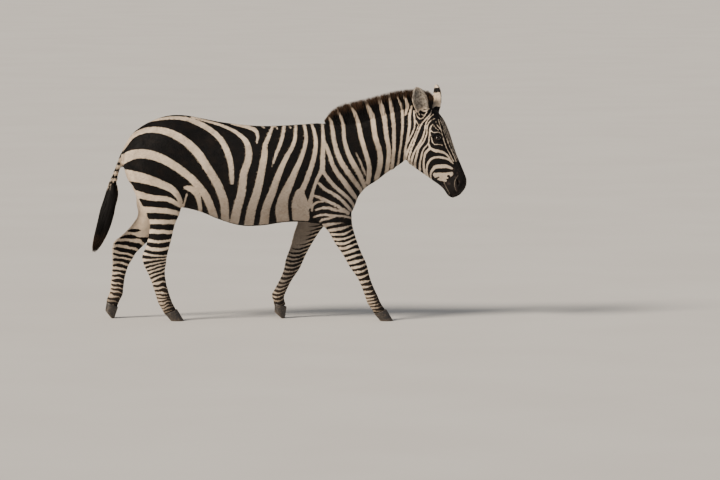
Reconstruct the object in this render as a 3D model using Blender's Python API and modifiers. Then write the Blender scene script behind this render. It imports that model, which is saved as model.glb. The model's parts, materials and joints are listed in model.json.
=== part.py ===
"""A plains zebra at life size, walking, as a still model such as a museum shows.

Units are metres. The animal looks along +X, +Y is its left side and +Z is up, with the
origin on the ground under the middle of the animal's bounding box.

The flesh is one surface: rings of named places are lofted into trunk, neck, head, ears, legs
and the root of the tail, a voxel remesh makes them one skin, its hollow creases are filled as
muscle fills them, and thin cuts then part it into named nodes. Hooves, eyes and the tuft of
the tail are pieces of their own.
"""

import math
from typing import NamedTuple

import bmesh
import bpy
import numpy as np
from mathutils import Matrix, Vector

# ---------------------------------------------------------------- driving sizes
GAP = 0.0004  # between neighbouring pieces
VOXEL = 0.0065  # facet size while the flesh is made one surface
BODY_TRIANGLES = 3950  # what the flesh is thinned to before it is parted
RING_POINTS = 40  # round a loft that becomes flesh
RING_STEP = 0.012  # between its rings
HAIR_POINTS = 14  # round a loft that stays as it is, for mane and tail
HAIR_STEP = 0.032  # between its rings
CREASE_ROUNDS = 60  # how far the hollows between muscles fill
CREASE_FILL = 0.5  # share of the way that a hollow place moves out in a round
SWELL_LOSS = 0.06  # and that a round place sinks
MUSCLE_FACETS = (32, 20)  # round a muscle and from end to end
EYE_FACETS = (18, 10)
EAR_FACETS = (24, 16)  # along an ear and across it
HOOF_POINTS = 24
HOOF_EDGE = 0.07  # how much of the hoof's height its worn edge rounds
HOOF_RINGS = (0.33, 0.66, 0.94)  # how far up the wall its rings are
LEG_ROUNDNESS = 2.1  # ahead of a leg's broadest line, 2 being an ellipse

MIDDLE = (0.003, 0.0)  # x, y of the record's origin in the coordinates used here

HEAD_TURN = math.radians(-19.0)  # the head looks a little to the animal's right
HEAD_PIVOT = (0.86, 1.28)  # x, z of the joint behind the ears
MANE_TURN = (0.80, 0.12)  # where the mane starts to turn with the head, and over what length

EYE_RADIUS = 0.0215
EYE_PLACE = (1.050, 0.0735, 1.168)  # before the head turns, on the left
EAR_LENGTH = 0.226
EAR_HALF_WIDTH = 0.049
EAR_THICKNESS = 0.011
MANE_HALF_WIDTH = 0.021


class Ring(NamedTuple):
    """One cross-section, by its two ends in the animal's upright plane."""

    top: tuple  # x, z of the upper or front end
    bottom: tuple  # x, z of the lower or rear end
    half: float  # half its breadth
    y: float = 0.0  # how far its middle is from the animal's middle
    widest: float = 0.5  # where it is broadest, from bottom 0 to top 1
    peak: float = 2.0  # roundness above the broadest line, 2 being an ellipse
    keel: float = 2.0  # roundness below it


TRUNK = (
    Ring((-0.992, 1.085), (-0.990, 0.985), 0.050),
    Ring((-0.978, 1.125), (-0.960, 0.905), 0.098),
    Ring((-0.945, 1.180), (-0.920, 0.835), 0.140),
    Ring((-0.880, 1.237), (-0.855, 0.775), 0.178, widest=0.52),
    Ring((-0.790, 1.284), (-0.785, 0.745), 0.198, widest=0.54),
    Ring((-0.690, 1.312), (-0.690, 0.725), 0.208, widest=0.55, peak=1.9),
    Ring((-0.600, 1.313), (-0.600, 0.715), 0.211, widest=0.52, peak=1.8),
    Ring((-0.500, 1.296), (-0.500, 0.690), 0.214, widest=0.48, peak=1.75),
    Ring((-0.380, 1.272), (-0.380, 0.641), 0.223, widest=0.46, peak=1.8),
    Ring((-0.240, 1.253), (-0.240, 0.601), 0.231, widest=0.45, peak=1.85),
    Ring((-0.100, 1.244), (-0.100, 0.602), 0.230, widest=0.45, peak=1.85),
    Ring((0.040, 1.248), (0.040, 0.622), 0.216, widest=0.46, peak=1.8),
    Ring((0.160, 1.256), (0.160, 0.624), 0.198, widest=0.47, peak=1.7),
    Ring((0.270, 1.262), (0.260, 0.612), 0.182, widest=0.48, peak=1.6, keel=1.9),
    Ring((0.370, 1.240), (0.350, 0.610), 0.163, widest=0.46, peak=1.7, keel=1.9),
    Ring((0.440, 1.150), (0.430, 0.640), 0.142, widest=0.45),
    Ring((0.490, 1.060), (0.478, 0.700), 0.108, widest=0.45),
    Ring((0.514, 0.960), (0.505, 0.765), 0.066, widest=0.50),
)

NECK = (
    Ring((0.200, 1.215), (0.380, 0.740), 0.150, widest=0.42, peak=1.7),
    Ring((0.300, 1.255), (0.500, 0.780), 0.158, widest=0.40, peak=1.6),
    Ring((0.400, 1.262), (0.560, 0.845), 0.140, widest=0.40, peak=1.6),
    Ring((0.500, 1.277), (0.628, 0.888), 0.115, widest=0.42, peak=1.7),
    Ring((0.600, 1.303), (0.690, 0.936), 0.098, widest=0.45, peak=1.8),
    Ring((0.700, 1.336), (0.748, 0.975), 0.087, widest=0.48, peak=1.8),
    Ring((0.790, 1.358), (0.800, 1.010), 0.081, widest=0.50, peak=1.9),
    Ring((0.855, 1.366), (0.860, 1.070), 0.074, widest=0.52, peak=1.9),
)

HEAD = (
    Ring((0.862, 1.335), (0.840, 1.200), 0.050),
    Ring((0.915, 1.366), (0.822, 1.075), 0.074, widest=0.60, peak=2.2),
    Ring((0.980, 1.362), (0.824, 1.012), 0.086, widest=0.62, peak=2.4, keel=1.9),
    Ring((1.050, 1.302), (0.862, 0.980), 0.092, widest=0.66, peak=2.5, keel=1.8),
    Ring((1.092, 1.220), (0.908, 0.949), 0.093, widest=0.68, peak=2.5, keel=1.8),
    Ring((1.120, 1.146), (0.952, 0.922), 0.082, widest=0.64, peak=2.3, keel=1.8),
    Ring((1.147, 1.078), (0.996, 0.892), 0.068, widest=0.58, peak=2.1, keel=1.9),
    Ring((1.175, 1.016), (1.037, 0.866), 0.058, widest=0.52),
    Ring((1.202, 0.954), (1.066, 0.841), 0.056, widest=0.50),
    Ring((1.219, 0.900), (1.086, 0.814), 0.058, widest=0.50, peak=2.2),
    Ring((1.206, 0.846), (1.104, 0.794), 0.053, widest=0.50, peak=2.2),
    Ring((1.174, 0.806), (1.126, 0.786), 0.034, widest=0.50),
)

DOCK = (
    Ring((-0.930, 1.120), (-0.930, 1.080), 0.018),
    Ring((-0.982, 1.116), (-0.965, 1.076), 0.021),
    Ring((-1.012, 1.060), (-0.982, 1.044), 0.020),
    Ring((-1.038, 0.995), (-1.003, 0.985), 0.018),
    Ring((-1.062, 0.935), (-1.021, 0.925), 0.019),
    Ring((-1.098, 0.850), (-1.030, 0.840), 0.022),
)

TUFT = (
    Ring((-1.091, 0.866), (-1.029, 0.853), 0.022),
    Ring((-1.104, 0.800), (-1.024, 0.800), 0.030),
    Ring((-1.136, 0.700), (-1.042, 0.700), 0.037),
    Ring((-1.163, 0.600), (-1.076, 0.600), 0.038),
    Ring((-1.186, 0.520), (-1.112, 0.520), 0.031),
    Ring((-1.197, 0.462), (-1.146, 0.462), 0.021),
    Ring((-1.194, 0.428), (-1.172, 0.428), 0.009),
)

SIDES = ((1, "left"), (-1, "right"))

EAR_SUNK = 0.030  # how much of the ear's length starts inside the head
# Along the ear: its breadth as a share of EAR_HALF_WIDTH, and how far it rolls, in degrees.
EAR_STATIONS = (
    (0.00, 0.46, 150.0),
    (0.18, 0.52, 138.0),
    (0.34, 0.76, 104.0),
    (0.52, 0.98, 80.0),
    (0.68, 1.00, 66.0),
    (0.82, 0.84, 56.0),
    (0.93, 0.54, 48.0),
    (1.00, 0.16, 44.0),
)


class Ear(NamedTuple):
    """An ear: the middle of its root before the head turns, and how it is held, in degrees."""

    root: tuple
    forward: float  # its tip leans this far ahead
    outward: float  # and this far to the animal's left
    opening: float  # the way its hollow faces, from the left side round to the front


EARS = {
    "ear_left": Ear((0.967, 0.052, 1.322), 9.0, 16.0, -72.0),
    "ear_right": Ear((0.942, -0.052, 1.318), -13.0, -16.0, -172.0),
}

# The erect mane: rings along the crest, from its foot inside the neck up to the hair's tips.
MANE = (
    Ring((0.290, 1.285), (0.290, 1.230), 0.010),
    Ring((0.322, 1.322), (0.350, 1.230), MANE_HALF_WIDTH),
    Ring((0.390, 1.371), (0.430, 1.235), MANE_HALF_WIDTH),
    Ring((0.472, 1.394), (0.510, 1.250), MANE_HALF_WIDTH),
    Ring((0.566, 1.417), (0.600, 1.275), MANE_HALF_WIDTH),
    Ring((0.660, 1.442), (0.685, 1.305), MANE_HALF_WIDTH),
    Ring((0.760, 1.467), (0.770, 1.325), MANE_HALF_WIDTH),
    Ring((0.850, 1.475), (0.850, 1.335), MANE_HALF_WIDTH),
    Ring((0.920, 1.472), (0.905, 1.335), MANE_HALF_WIDTH),
    Ring((0.968, 1.462), (0.955, 1.332), 0.020),
    Ring((0.998, 1.438), (0.985, 1.338), 0.014),
)


class Slice(NamedTuple):
    """One cross-section of a leg, from the bone that it is round."""

    bone: int  # which bone, counted from the top
    share: float  # how far down that bone
    front: float  # from the bone's line to the leg's front edge
    back: float  # and to its rear edge
    half: float  # half its breadth


FORE_SLICES = (
    Slice(0, 0.00, 0.100, 0.110, 0.058),
    Slice(0, 0.50, 0.118, 0.122, 0.066),
    Slice(1, 0.00, 0.124, 0.102, 0.062),
    Slice(1, 0.22, 0.094, 0.074, 0.054),
    Slice(1, 0.45, 0.075, 0.070, 0.046),
    Slice(1, 0.70, 0.060, 0.060, 0.039),
    Slice(1, 0.88, 0.054, 0.059, 0.037),
    Slice(2, 0.00, 0.052, 0.058, 0.040),
    Slice(2, 0.14, 0.050, 0.050, 0.035),
    Slice(2, 0.32, 0.041, 0.043, 0.028),
    Slice(2, 0.60, 0.034, 0.043, 0.026),
    Slice(2, 0.84, 0.034, 0.047, 0.029),
    Slice(3, 0.00, 0.035, 0.050, 0.034),
    Slice(3, 0.50, 0.031, 0.042, 0.031),
    Slice(3, 1.00, 0.036, 0.042, 0.036),
    Slice(3, 1.40, 0.034, 0.036, 0.034),
)

HIND_SLICES = (
    Slice(0, 0.00, 0.130, 0.150, 0.066),
    Slice(0, 0.50, 0.140, 0.186, 0.078),
    Slice(1, 0.00, 0.106, 0.182, 0.074),
    Slice(1, 0.18, 0.106, 0.145, 0.065),
    Slice(1, 0.38, 0.092, 0.082, 0.055),
    Slice(1, 0.60, 0.092, 0.064, 0.045),
    Slice(1, 0.82, 0.091, 0.064, 0.038),
    Slice(2, 0.00, 0.092, 0.072, 0.042),
    Slice(2, 0.14, 0.078, 0.073, 0.038),
    Slice(2, 0.32, 0.057, 0.062, 0.030),
    Slice(2, 0.60, 0.041, 0.054, 0.027),
    Slice(2, 0.84, 0.039, 0.052, 0.030),
    Slice(3, 0.00, 0.040, 0.050, 0.035),
    Slice(3, 0.50, 0.036, 0.048, 0.032),
    Slice(3, 1.00, 0.037, 0.045, 0.037),
    Slice(3, 1.40, 0.035, 0.038, 0.035),
)


class Leg(NamedTuple):
    """A leg: its cross-sections, its joints from inside the trunk to the coronet, and its foot."""

    slices: tuple
    joints: tuple  # x, y, z
    tip: float  # degrees the hoof is tipped onto its toe


LEGS = {
    "fore_right": Leg(
        FORE_SLICES,
        ((0.370, -0.098, 0.900), (0.350, -0.108, 0.665), (0.512, -0.098, 0.360),
         (0.612, -0.094, 0.130), (0.650, -0.094, 0.059)),
        0.0,
    ),
    "fore_left": Leg(
        FORE_SLICES,
        ((0.330, 0.098, 0.900), (0.215, 0.108, 0.675), (0.095, 0.098, 0.352),
         (0.000, 0.094, 0.142), (0.010, 0.094, 0.086)),
        40.0,
    ),
    "hind_right": Leg(
        HIND_SLICES,
        ((-0.770, -0.108, 1.000), (-0.712, -0.112, 0.770), (-0.800, -0.100, 0.405),
         (-0.722, -0.096, 0.130), (-0.686, -0.096, 0.059)),
        0.0,
    ),
    "hind_left": Leg(
        HIND_SLICES,
        ((-0.770, 0.108, 1.000), (-0.745, 0.112, 0.720), (-1.000, 0.100, 0.455),
         (-1.040, 0.096, 0.160), (-1.0705, 0.096, 0.089)),
        50.0,
    ),
}


class Muscle(NamedTuple):
    """A swelling under the skin, an ellipsoid on the left with its twin on the right."""

    name: str
    centre: tuple
    radii: tuple
    lean: float = 0.0  # degrees it is turned in the side view, nose down
    on_head: bool = False


MUSCLES = (
    Muscle("shoulder_blade", (0.305, 0.112, 1.010), (0.070, 0.042, 0.160), -16),
    Muscle("upper_arm", (0.270, 0.120, 0.800), (0.120, 0.052, 0.085), 24),
    Muscle("breast", (0.440, 0.068, 0.820), (0.072, 0.060, 0.085)),
    Muscle("hip_bone", (-0.600, 0.142, 1.165), (0.070, 0.038, 0.050), 10),
    Muscle("thigh", (-0.800, 0.118, 0.935), (0.135, 0.080, 0.190), -8),
    Muscle("stifle", (-0.665, 0.135, 0.795), (0.062, 0.052, 0.080), 0),
    Muscle("buttock", (-0.915, 0.085, 0.985), (0.070, 0.066, 0.140), -10),
    Muscle("jaw", (0.905, 0.058, 1.100), (0.072, 0.026, 0.100), 24, True),
    Muscle("cheek_bone", (1.040, 0.073, 1.115), (0.066, 0.013, 0.014), 62, True),
    Muscle("eye_mound", (1.046, 0.062, 1.168), (0.042, 0.026, 0.034), 50, True),
    Muscle("brow", (1.040, 0.066, 1.196), (0.032, 0.021, 0.013), 42, True),
    Muscle("nostril", (1.162, 0.040, 0.900), (0.040, 0.020, 0.022), 66, True),
    Muscle("upper_lip", (1.140, 0.026, 0.835), (0.036, 0.030, 0.032), 0, True),
)

CORONET_SLOPE = math.radians(24.0)  # it is higher in front
CORONET_HALF_DEPTH = 0.039
CORONET_HALF_WIDTH = 0.0375
HOOF_HEIGHT = 0.059  # from the middle of the coronet to the sole
SOLE_REACH = 0.041  # the sole's middle is this far ahead of the coronet's
SOLE_HALF_LENGTH = 0.044
SOLE_HALF_WIDTH = 0.042

# Blocks and thin cuts that end or part the flesh, by their spans and depths.
CORONET_CUT = (0.14, 0.20)
CORONET_CUT_DEPTH = 0.12
DOCK_CUT = (0.12, 0.12)
DOCK_CUT_DEPTH = 0.08
FLOOR_CUT = (0.3, 0.3)
FLOOR_CUT_DEPTH = 0.1
KNEE_CUT = (0.16, 0.30)
EAR_CUT = (0.092, 0.092)
EAR_CUT_PLACE = (0.0, 0.022, 0.040)  # across, into the hollow and up the ear
TUFT_PLACE = (-1.060, 0.0, 0.8600)  # where the dock ends and the tuft starts
TUFT_DOWN = (-0.205, 0.0, -0.979)
SHEET_HALF_WIDTH = 0.40

# Thin cuts through the flesh, by two ends in the side view.
SHEETS = {
    "neck": ((0.240, 1.310), (0.562, 0.690)),
    "head": ((0.845, 1.388), (0.790, 0.960)),
    "dock": ((-1.070, 1.055), (-0.993, 0.968)),
    "elbow": ((0.020, 0.588), (0.600, 0.588)),
    "stifle": ((-0.560, 0.690), (-1.120, 0.745)),
}

# A place near the middle of each node of flesh, which names the pieces after the cuts.
SEEDS = {
    "trunk": (-0.24, 0.0, 0.95),
    "neck": (0.58, 0.0, 1.08),
    "head": (1.00, -0.05, 1.08),
    "ear_left": (0.98, 0.06, 1.42),
    "ear_right": (0.90, -0.10, 1.42),
    "tail_dock": (-1.02, 0.0, 0.97),
    "fore_right_upper": (0.43, -0.11, 0.47),
    "fore_right_lower": (0.59, -0.10, 0.22),
    "fore_left_upper": (0.15, 0.11, 0.47),
    "fore_left_lower": (0.03, 0.10, 0.21),
    "hind_right_upper": (-0.76, -0.12, 0.57),
    "hind_right_lower": (-0.76, -0.10, 0.22),
    "hind_left_upper": (-0.87, 0.12, 0.57),
    "hind_left_lower": (-1.03, 0.10, 0.22),
}

# Each finish by its base colour and roughness.
FINISHES = {
    "coat": ((0.62, 0.56, 0.49), 0.80),
    "hair": ((0.055, 0.035, 0.026), 0.75),
    "hoof": ((0.060, 0.052, 0.045), 0.45),
    "eye": ((0.020, 0.012, 0.008), 0.08),
}


# ---------------------------------------------------------------- curves and rings
def eased(rows, knots, places):
    """Values between the rows of a table, by cubic curves through them."""
    rows = np.asarray(rows, float)
    slopes = np.gradient(rows, knots, axis=0)
    cell = np.clip(np.searchsorted(knots, places, side="right") - 1, 0, len(knots) - 2)
    width = (knots[cell + 1] - knots[cell])[:, None]
    t = ((places - knots[cell])[:, None]) / width
    start, end = rows[cell], rows[cell + 1]
    return (
        start * (1 + 2 * t) * (1 - t) ** 2
        + end * t * t * (3 - 2 * t)
        + slopes[cell] * width * t * (1 - t) ** 2
        - slopes[cell + 1] * width * t * t * (1 - t)
    )


def ring_table(rings):
    """The rings as one array: top x, z, bottom x, z, half, y, widest, peak, keel."""
    return np.array([[*r.top, *r.bottom, r.half, r.y, r.widest, r.peak, r.keel] for r in rings])


def loft_points(rings, around=RING_POINTS, step=RING_STEP):
    """Points of a loft, as [ring, point, xyz], with its rings a step apart or closer."""
    table = ring_table(rings)
    middles = (table[:, 0:2] + table[:, 2:4]) / 2
    strides = np.linalg.norm(np.diff(middles, axis=0), axis=1)
    knots = np.concatenate([[0.0], np.cumsum(np.maximum(strides, step))])
    count = max(2, int(math.ceil(knots[-1] / step)))
    rows = eased(table, knots, np.linspace(0.0, knots[-1], count + 1))
    top, bottom = rows[:, None, 0:2], rows[:, None, 2:4]
    half, y, widest, peak, keel = (rows[:, None, k] for k in range(4, 9))
    angle = np.linspace(0.0, 2 * math.pi, around, endpoint=False)[None, :]
    power = 2.0 / np.where(np.cos(angle) > 0, peak, keel)
    rise = np.sign(np.cos(angle)) * np.abs(np.cos(angle)) ** power
    side = np.sign(np.sin(angle)) * np.abs(np.sin(angle)) ** power
    share = np.where(rise > 0, widest + rise * (1 - widest), widest * (1 + rise))
    flat = bottom + (top - bottom) * share[:, :, None]
    return np.stack([flat[:, :, 0], y + side * half, flat[:, :, 1]], axis=2)


def leg_rings(slices, joints):
    """Rings square to a leg's bones, which turn smoothly at each joint."""
    joints = np.asarray(joints)
    bones = np.diff(joints, axis=0)
    along = bones / np.linalg.norm(bones, axis=1)[:, None]
    rings = []
    for cut in slices:
        place = joints[cut.bone] + bones[cut.bone] * cut.share
        before = along[max(cut.bone - 1, 0)]
        after = along[min(cut.bone + 1, len(bones) - 1)]
        near_top, near_end = max(0.0, 0.5 - cut.share), max(0.0, min(cut.share, 1.0) - 0.5)
        heading = along[cut.bone] * (1 - near_top - near_end) + before * near_top + after * near_end
        heading = heading / np.linalg.norm(heading)
        ahead = np.array([-heading[2], heading[0]])
        middle = np.array([place[0], place[2]])
        rings.append(
            Ring(
                tuple(middle + ahead * cut.front),
                tuple(middle - ahead * cut.back),
                cut.half,
                y=place[1],
                widest=cut.back / (cut.front + cut.back),
                peak=LEG_ROUNDNESS,
            )
        )
    return rings


def turned(points):
    """The head's points after it turns about the upright line through its pivot."""
    x, y = points[..., 0] - HEAD_PIVOT[0], points[..., 1]
    cos, sin = math.cos(HEAD_TURN), math.sin(HEAD_TURN)
    return np.stack([HEAD_PIVOT[0] + x * cos - y * sin, x * sin + y * cos, points[..., 2]], axis=-1)


# ---------------------------------------------------------------- meshes and objects
def new_object(name, mesh):
    """An object in the animal's collection, shaded smooth."""
    made = bpy.data.objects.new(name, mesh)
    bpy.data.collections["zebra"].objects.link(made)
    mesh.shade_smooth()
    return made


def new_node(name, mesh, finish):
    """A piece of the finished animal, moved to the record's origin, in a material of its own."""
    mesh.transform(Matrix.Translation((-MIDDLE[0], -MIDDLE[1], 0.0)))
    mesh.name = name
    colour, roughness = FINISHES[finish]
    material = bpy.data.materials.new(name + "_" + finish)
    material.use_nodes = True
    shader = material.node_tree.nodes["Principled BSDF"]
    shader.inputs["Base Color"].default_value = (*colour, 1.0)
    shader.inputs["Roughness"].default_value = roughness
    mesh.materials.clear()
    mesh.materials.append(material)
    return new_object(name, mesh)


def loft_mesh(name, points):
    """A closed mesh from a loft's points: quads between rings, and a face at each end."""
    rings, around = points.shape[:2]
    mesh = bpy.data.meshes.new(name)
    index = np.arange(rings * around).reshape(rings, around)
    ahead = np.roll(index, -1, axis=1)
    quads = np.stack([index[:-1], ahead[:-1], ahead[1:], index[1:]], axis=2).reshape(-1, 4)
    faces = [*quads.tolist(), index[0, ::-1].tolist(), index[-1].tolist()]
    mesh.from_pydata(points.reshape(-1, 3).tolist(), [], faces)
    shape = bmesh.new()
    shape.from_mesh(mesh)
    bmesh.ops.recalc_face_normals(shape, faces=shape.faces)
    shape.to_mesh(mesh)
    shape.free()
    return mesh


def ear_mesh(name, ear):
    """A leaf rolled into a tube at its root and open above, given its thickness by Solidify."""
    rows, columns = EAR_FACETS
    stations = np.array(EAR_STATIONS)
    along = np.linspace(0.0, 1.0, rows)
    breadth, cup = eased(stations[:, 1:], stations[:, 0], along).T[:, :, None]
    turn = np.linspace(-1.0, 1.0, columns)[None, :] * np.radians(cup)
    radius = EAR_HALF_WIDTH * breadth / np.sin(np.radians(np.minimum(cup, 90.0)))
    upward = np.broadcast_to((EAR_LENGTH * along - EAR_SUNK)[:, None], turn.shape)
    local = np.stack([radius * np.sin(turn), radius * (1 - np.cos(turn)), upward], axis=-1)
    mesh = bpy.data.meshes.new(name)
    grid = np.arange(rows * columns).reshape(rows, columns)
    quads = np.stack([grid[:-1, :-1], grid[:-1, 1:], grid[1:, 1:], grid[1:, :-1]], axis=2)
    mesh.from_pydata(local.reshape(-1, 3).tolist(), [], quads.reshape(-1, 4).tolist())
    mesh.transform(ear_frame(ear))
    return mesh


def ear_frame(ear):
    """Where an ear stands: its root on the turned head, then its lean and the way it opens."""
    root = Vector(turned(np.array(ear.root)))
    forward, outward, opening = np.radians([ear.forward, ear.outward, ear.opening])
    return (
        Matrix.Translation(root)
        @ Matrix.Rotation(forward, 4, "Y")
        @ Matrix.Rotation(-outward, 4, "X")
        @ Matrix.Rotation(opening, 4, "Z")
    )


def evaluated_mesh(source):
    """The object's mesh with its modifiers carried out, and the object removed."""
    bpy.context.view_layer.update()
    graph = bpy.context.evaluated_depsgraph_get()
    mesh = bpy.data.meshes.new_from_object(source.evaluated_get(graph), depsgraph=graph)
    bpy.data.objects.remove(source)
    return mesh


def solidified(mesh, thickness):
    """The sheet with its thickness, half to each side."""
    shell = new_object("shell", mesh)
    wall = shell.modifiers.new("wall", "SOLIDIFY")
    wall.thickness = thickness
    wall.offset = 0.0
    return evaluated_mesh(shell)


def joined(meshes):
    """One mesh that holds them all, still as separate shells."""
    shape = bmesh.new()
    for mesh in meshes:
        shape.from_mesh(mesh)
    whole = bpy.data.meshes.new("joined")
    shape.to_mesh(whole)
    shape.free()
    return whole


def remeshed(mesh, size):
    """One skin round all the shells, in facets of this size."""
    source = new_object("shells", mesh)
    wrap = source.modifiers.new("wrap", "REMESH")
    wrap.mode = "VOXEL"
    wrap.voxel_size = size
    return evaluated_mesh(source)


def fill_creases(mesh, rounds):
    """Fills hollow creases where lofts meet, and barely moves what is round."""
    count = len(mesh.vertices)
    points = np.empty(count * 3)
    mesh.vertices.foreach_get("co", points)
    points = points.reshape(-1, 3)
    ends = np.empty(len(mesh.edges) * 2, np.int64)
    mesh.edges.foreach_get("vertices", ends)
    first, second = ends.reshape(-1, 2).T
    valence = np.bincount(ends, minlength=count)[:, None]
    for _ in range(rounds):
        sums = [
            np.bincount(first, along[second], count) + np.bincount(second, along[first], count)
            for along in points.T
        ]
        total = np.stack(sums, axis=1)
        pull = total / valence - points
        mesh.vertices.foreach_set("co", points.astype(np.float32).ravel())
        mesh.update()
        normals = np.empty(count * 3, np.float32)
        mesh.vertex_normals.foreach_get("vector", normals)
        normals = normals.reshape(-1, 3)
        outward = (pull * normals).sum(axis=1)[:, None]
        sideways = pull - outward * normals
        step = np.where(outward > 0, CREASE_FILL, SWELL_LOSS) * outward
        points = points + CREASE_FILL * sideways + normals * step
    mesh.vertices.foreach_set("co", points.astype(np.float32).ravel())
    mesh.update()


def thinned(mesh, triangles):
    """The mesh with about this many triangles, which gather where it bends most."""
    source = new_object("fine", mesh)
    mesh.calc_loop_triangles()
    decimate = source.modifiers.new("decimate", "DECIMATE")
    decimate.ratio = triangles / len(mesh.loop_triangles)
    return evaluated_mesh(source)


def helper(name, mesh):
    """A cutter: it shapes other pieces and isn't one itself."""
    made = bpy.data.objects.new(name, mesh)
    bpy.data.collections["cutters"].objects.link(made)
    made.hide_render = True
    made.display_type = "WIRE"
    return made


def slab(name, middle, normal, spans, roll_axis=(0.0, 1.0, 0.0)):
    """A sheet GAP thick, square to normal, spans[0] along roll_axis and spans[1] across it."""
    across = Vector(normal).normalized()
    along = Vector(roll_axis)
    along = (along - across * along.dot(across)).normalized()
    third = across.cross(along)
    bpy.ops.mesh.primitive_cube_add(size=1.0)
    cube = bpy.context.object
    mesh = cube.data
    bpy.data.objects.remove(cube)
    turn = Matrix((along, third, across)).transposed().to_4x4()
    mesh.transform(Matrix.Translation(Vector(middle)) @ turn @ Matrix.Diagonal((*spans, GAP, 1.0)))
    return helper(name, mesh)


def cut(mesh, cutters):
    """The mesh after all the cutters are taken from it at once."""
    group = bpy.data.collections.new("cutters_of_one_cut")
    bpy.data.collections["cutters"].children.link(group)
    for cutter in cutters:
        group.objects.link(cutter)
    source = new_object("whole", mesh)
    boolean = source.modifiers.new("cut", "BOOLEAN")
    boolean.operation = "DIFFERENCE"
    boolean.solver = "EXACT"
    boolean.operand_type = "COLLECTION"
    boolean.collection = group
    return evaluated_mesh(source)


def loose_parts(mesh):
    """The mesh's separate bodies, each as its own mesh, largest first.

    A crumb that hangs on by one edge counts as a body of its own.
    """
    shape = bmesh.new()
    shape.from_mesh(mesh)
    shape.faces.ensure_lookup_table()
    unseen = set(shape.faces)
    parts = []
    while unseen:
        stack = [unseen.pop()]
        body = []
        while stack:
            face = stack.pop()
            body.append(face)
            whole_edges = (edge for edge in face.edges if edge.is_manifold)
            for neighbour in (other for edge in whole_edges for other in edge.link_faces):
                if neighbour in unseen:
                    unseen.discard(neighbour)
                    stack.append(neighbour)
        parts.append([[tuple(v.co) for v in face.verts] for face in body])
    shape.free()
    found = []
    for faces in parts:
        lookup = {}
        indices = [[lookup.setdefault(corner, len(lookup)) for corner in face] for face in faces]
        part = bpy.data.meshes.new("part")
        part.from_pydata(list(lookup), [], indices)
        found.append(part)
    return sorted(found, key=lambda m: -len(m.polygons))


def centre_of(mesh):
    """The middle of the mesh's bounding box."""
    points = np.array([v.co for v in mesh.vertices])
    return (points.min(axis=0) + points.max(axis=0)) / 2


# ---------------------------------------------------------------- the animal's pieces
def muscle_mesh(muscle, side):
    """A muscle's ellipsoid on one side of the animal, which turns with the head if it is on it."""
    mesh = ball(muscle.name, (0.0, 0.0, 0.0), 1.0, MUSCLE_FACETS)
    x, y, z = muscle.centre
    place = Matrix.Translation((x, y * side, z)) @ Matrix.Rotation(math.radians(muscle.lean), 4, "Y")
    if muscle.on_head:
        pivot = Matrix.Translation((HEAD_PIVOT[0], 0.0, 0.0))
        place = pivot @ Matrix.Rotation(HEAD_TURN, 4, "Z") @ pivot.inverted() @ place
    mesh.transform(place @ Matrix.Diagonal((*muscle.radii, 1.0)))
    return mesh


def build_flesh():
    """Trunk, neck, head, ears, legs and dock as one closed skin."""
    shells = [loft_mesh("trunk", loft_points(TRUNK)), loft_mesh("neck", loft_points(NECK))]
    shells.append(loft_mesh("head", turned(loft_points(HEAD))))
    shells.append(loft_mesh("dock", loft_points(DOCK)))
    for leg in LEGS.values():
        shells.append(loft_mesh("leg", loft_points(leg_rings(leg.slices, leg.joints))))
    for ear in EARS.values():
        shells.append(solidified(ear_mesh("ear", ear), EAR_THICKNESS))
    for side in (1, -1):
        shells.extend(muscle_mesh(muscle, side) for muscle in MUSCLES)
    skin = remeshed(joined(shells), VOXEL)
    fill_creases(skin, CREASE_ROUNDS)
    return thinned(skin, BODY_TRIANGLES)


def mane_mesh():
    """The mane's loft, whose front end turns with the head."""
    points = loft_points(MANE, HAIR_POINTS, HAIR_STEP)
    start, length = MANE_TURN
    share = np.clip((points[..., 0:1] - start) / length, 0.0, 1.0)
    return loft_mesh("mane", points * (1 - share) + turned(points) * share)


def foot_frame(leg):
    """Where a foot is: its origin at the middle of the coronet, tipped onto the toe."""
    return Matrix.Translation(leg.joints[-1]) @ Matrix.Rotation(math.radians(leg.tip), 4, "Y")


def hoof_mesh(leg):
    """A hoof: rings from the sole up to the sloping coronet, cut level where it stands."""
    angle = np.linspace(0.0, 2 * math.pi, HOOF_POINTS, endpoint=False)
    ahead, side = np.cos(angle), np.sin(angle)
    level = np.zeros(HOOF_POINTS)
    sole = np.stack(
        [SOLE_REACH + SOLE_HALF_LENGTH * ahead, SOLE_HALF_WIDTH * side, level - HOOF_HEIGHT], axis=1
    )
    crown = np.stack([CORONET_HALF_DEPTH * ahead, CORONET_HALF_WIDTH * side, level], axis=1)
    crown[:, 2] = crown[:, 0] * math.tan(CORONET_SLOPE) - GAP
    edge = sole + (crown - sole) * HOOF_EDGE
    middle = sole.mean(axis=0)
    rings = [middle + (sole - middle) * (1 - HOOF_EDGE), edge]
    rings += [edge + (crown - edge) * share for share in HOOF_RINGS]
    rings.append(crown)
    mesh = loft_mesh("hoof", np.array(rings))
    mesh.transform(foot_frame(leg))
    if not leg.tip:
        return mesh
    x, y, _ = leg.joints[-1]
    return cut(mesh, [below("floor", (x, y, 0.0), (0.0, 0.0, -1.0), FLOOR_CUT, FLOOR_CUT_DEPTH)])


def below(name, place, direction, spans, depth):
    """A block that lies beyond a plane."""
    block = slab(name, Vector(place) + Vector(direction) * (depth / 2), direction, spans)
    for vertex in block.data.vertices:
        offset = (vertex.co - Vector(place)).dot(Vector(direction))
        wanted = 0.0 if offset < depth / 2 else depth
        vertex.co += Vector(direction) * (wanted - offset)
    return block


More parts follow.
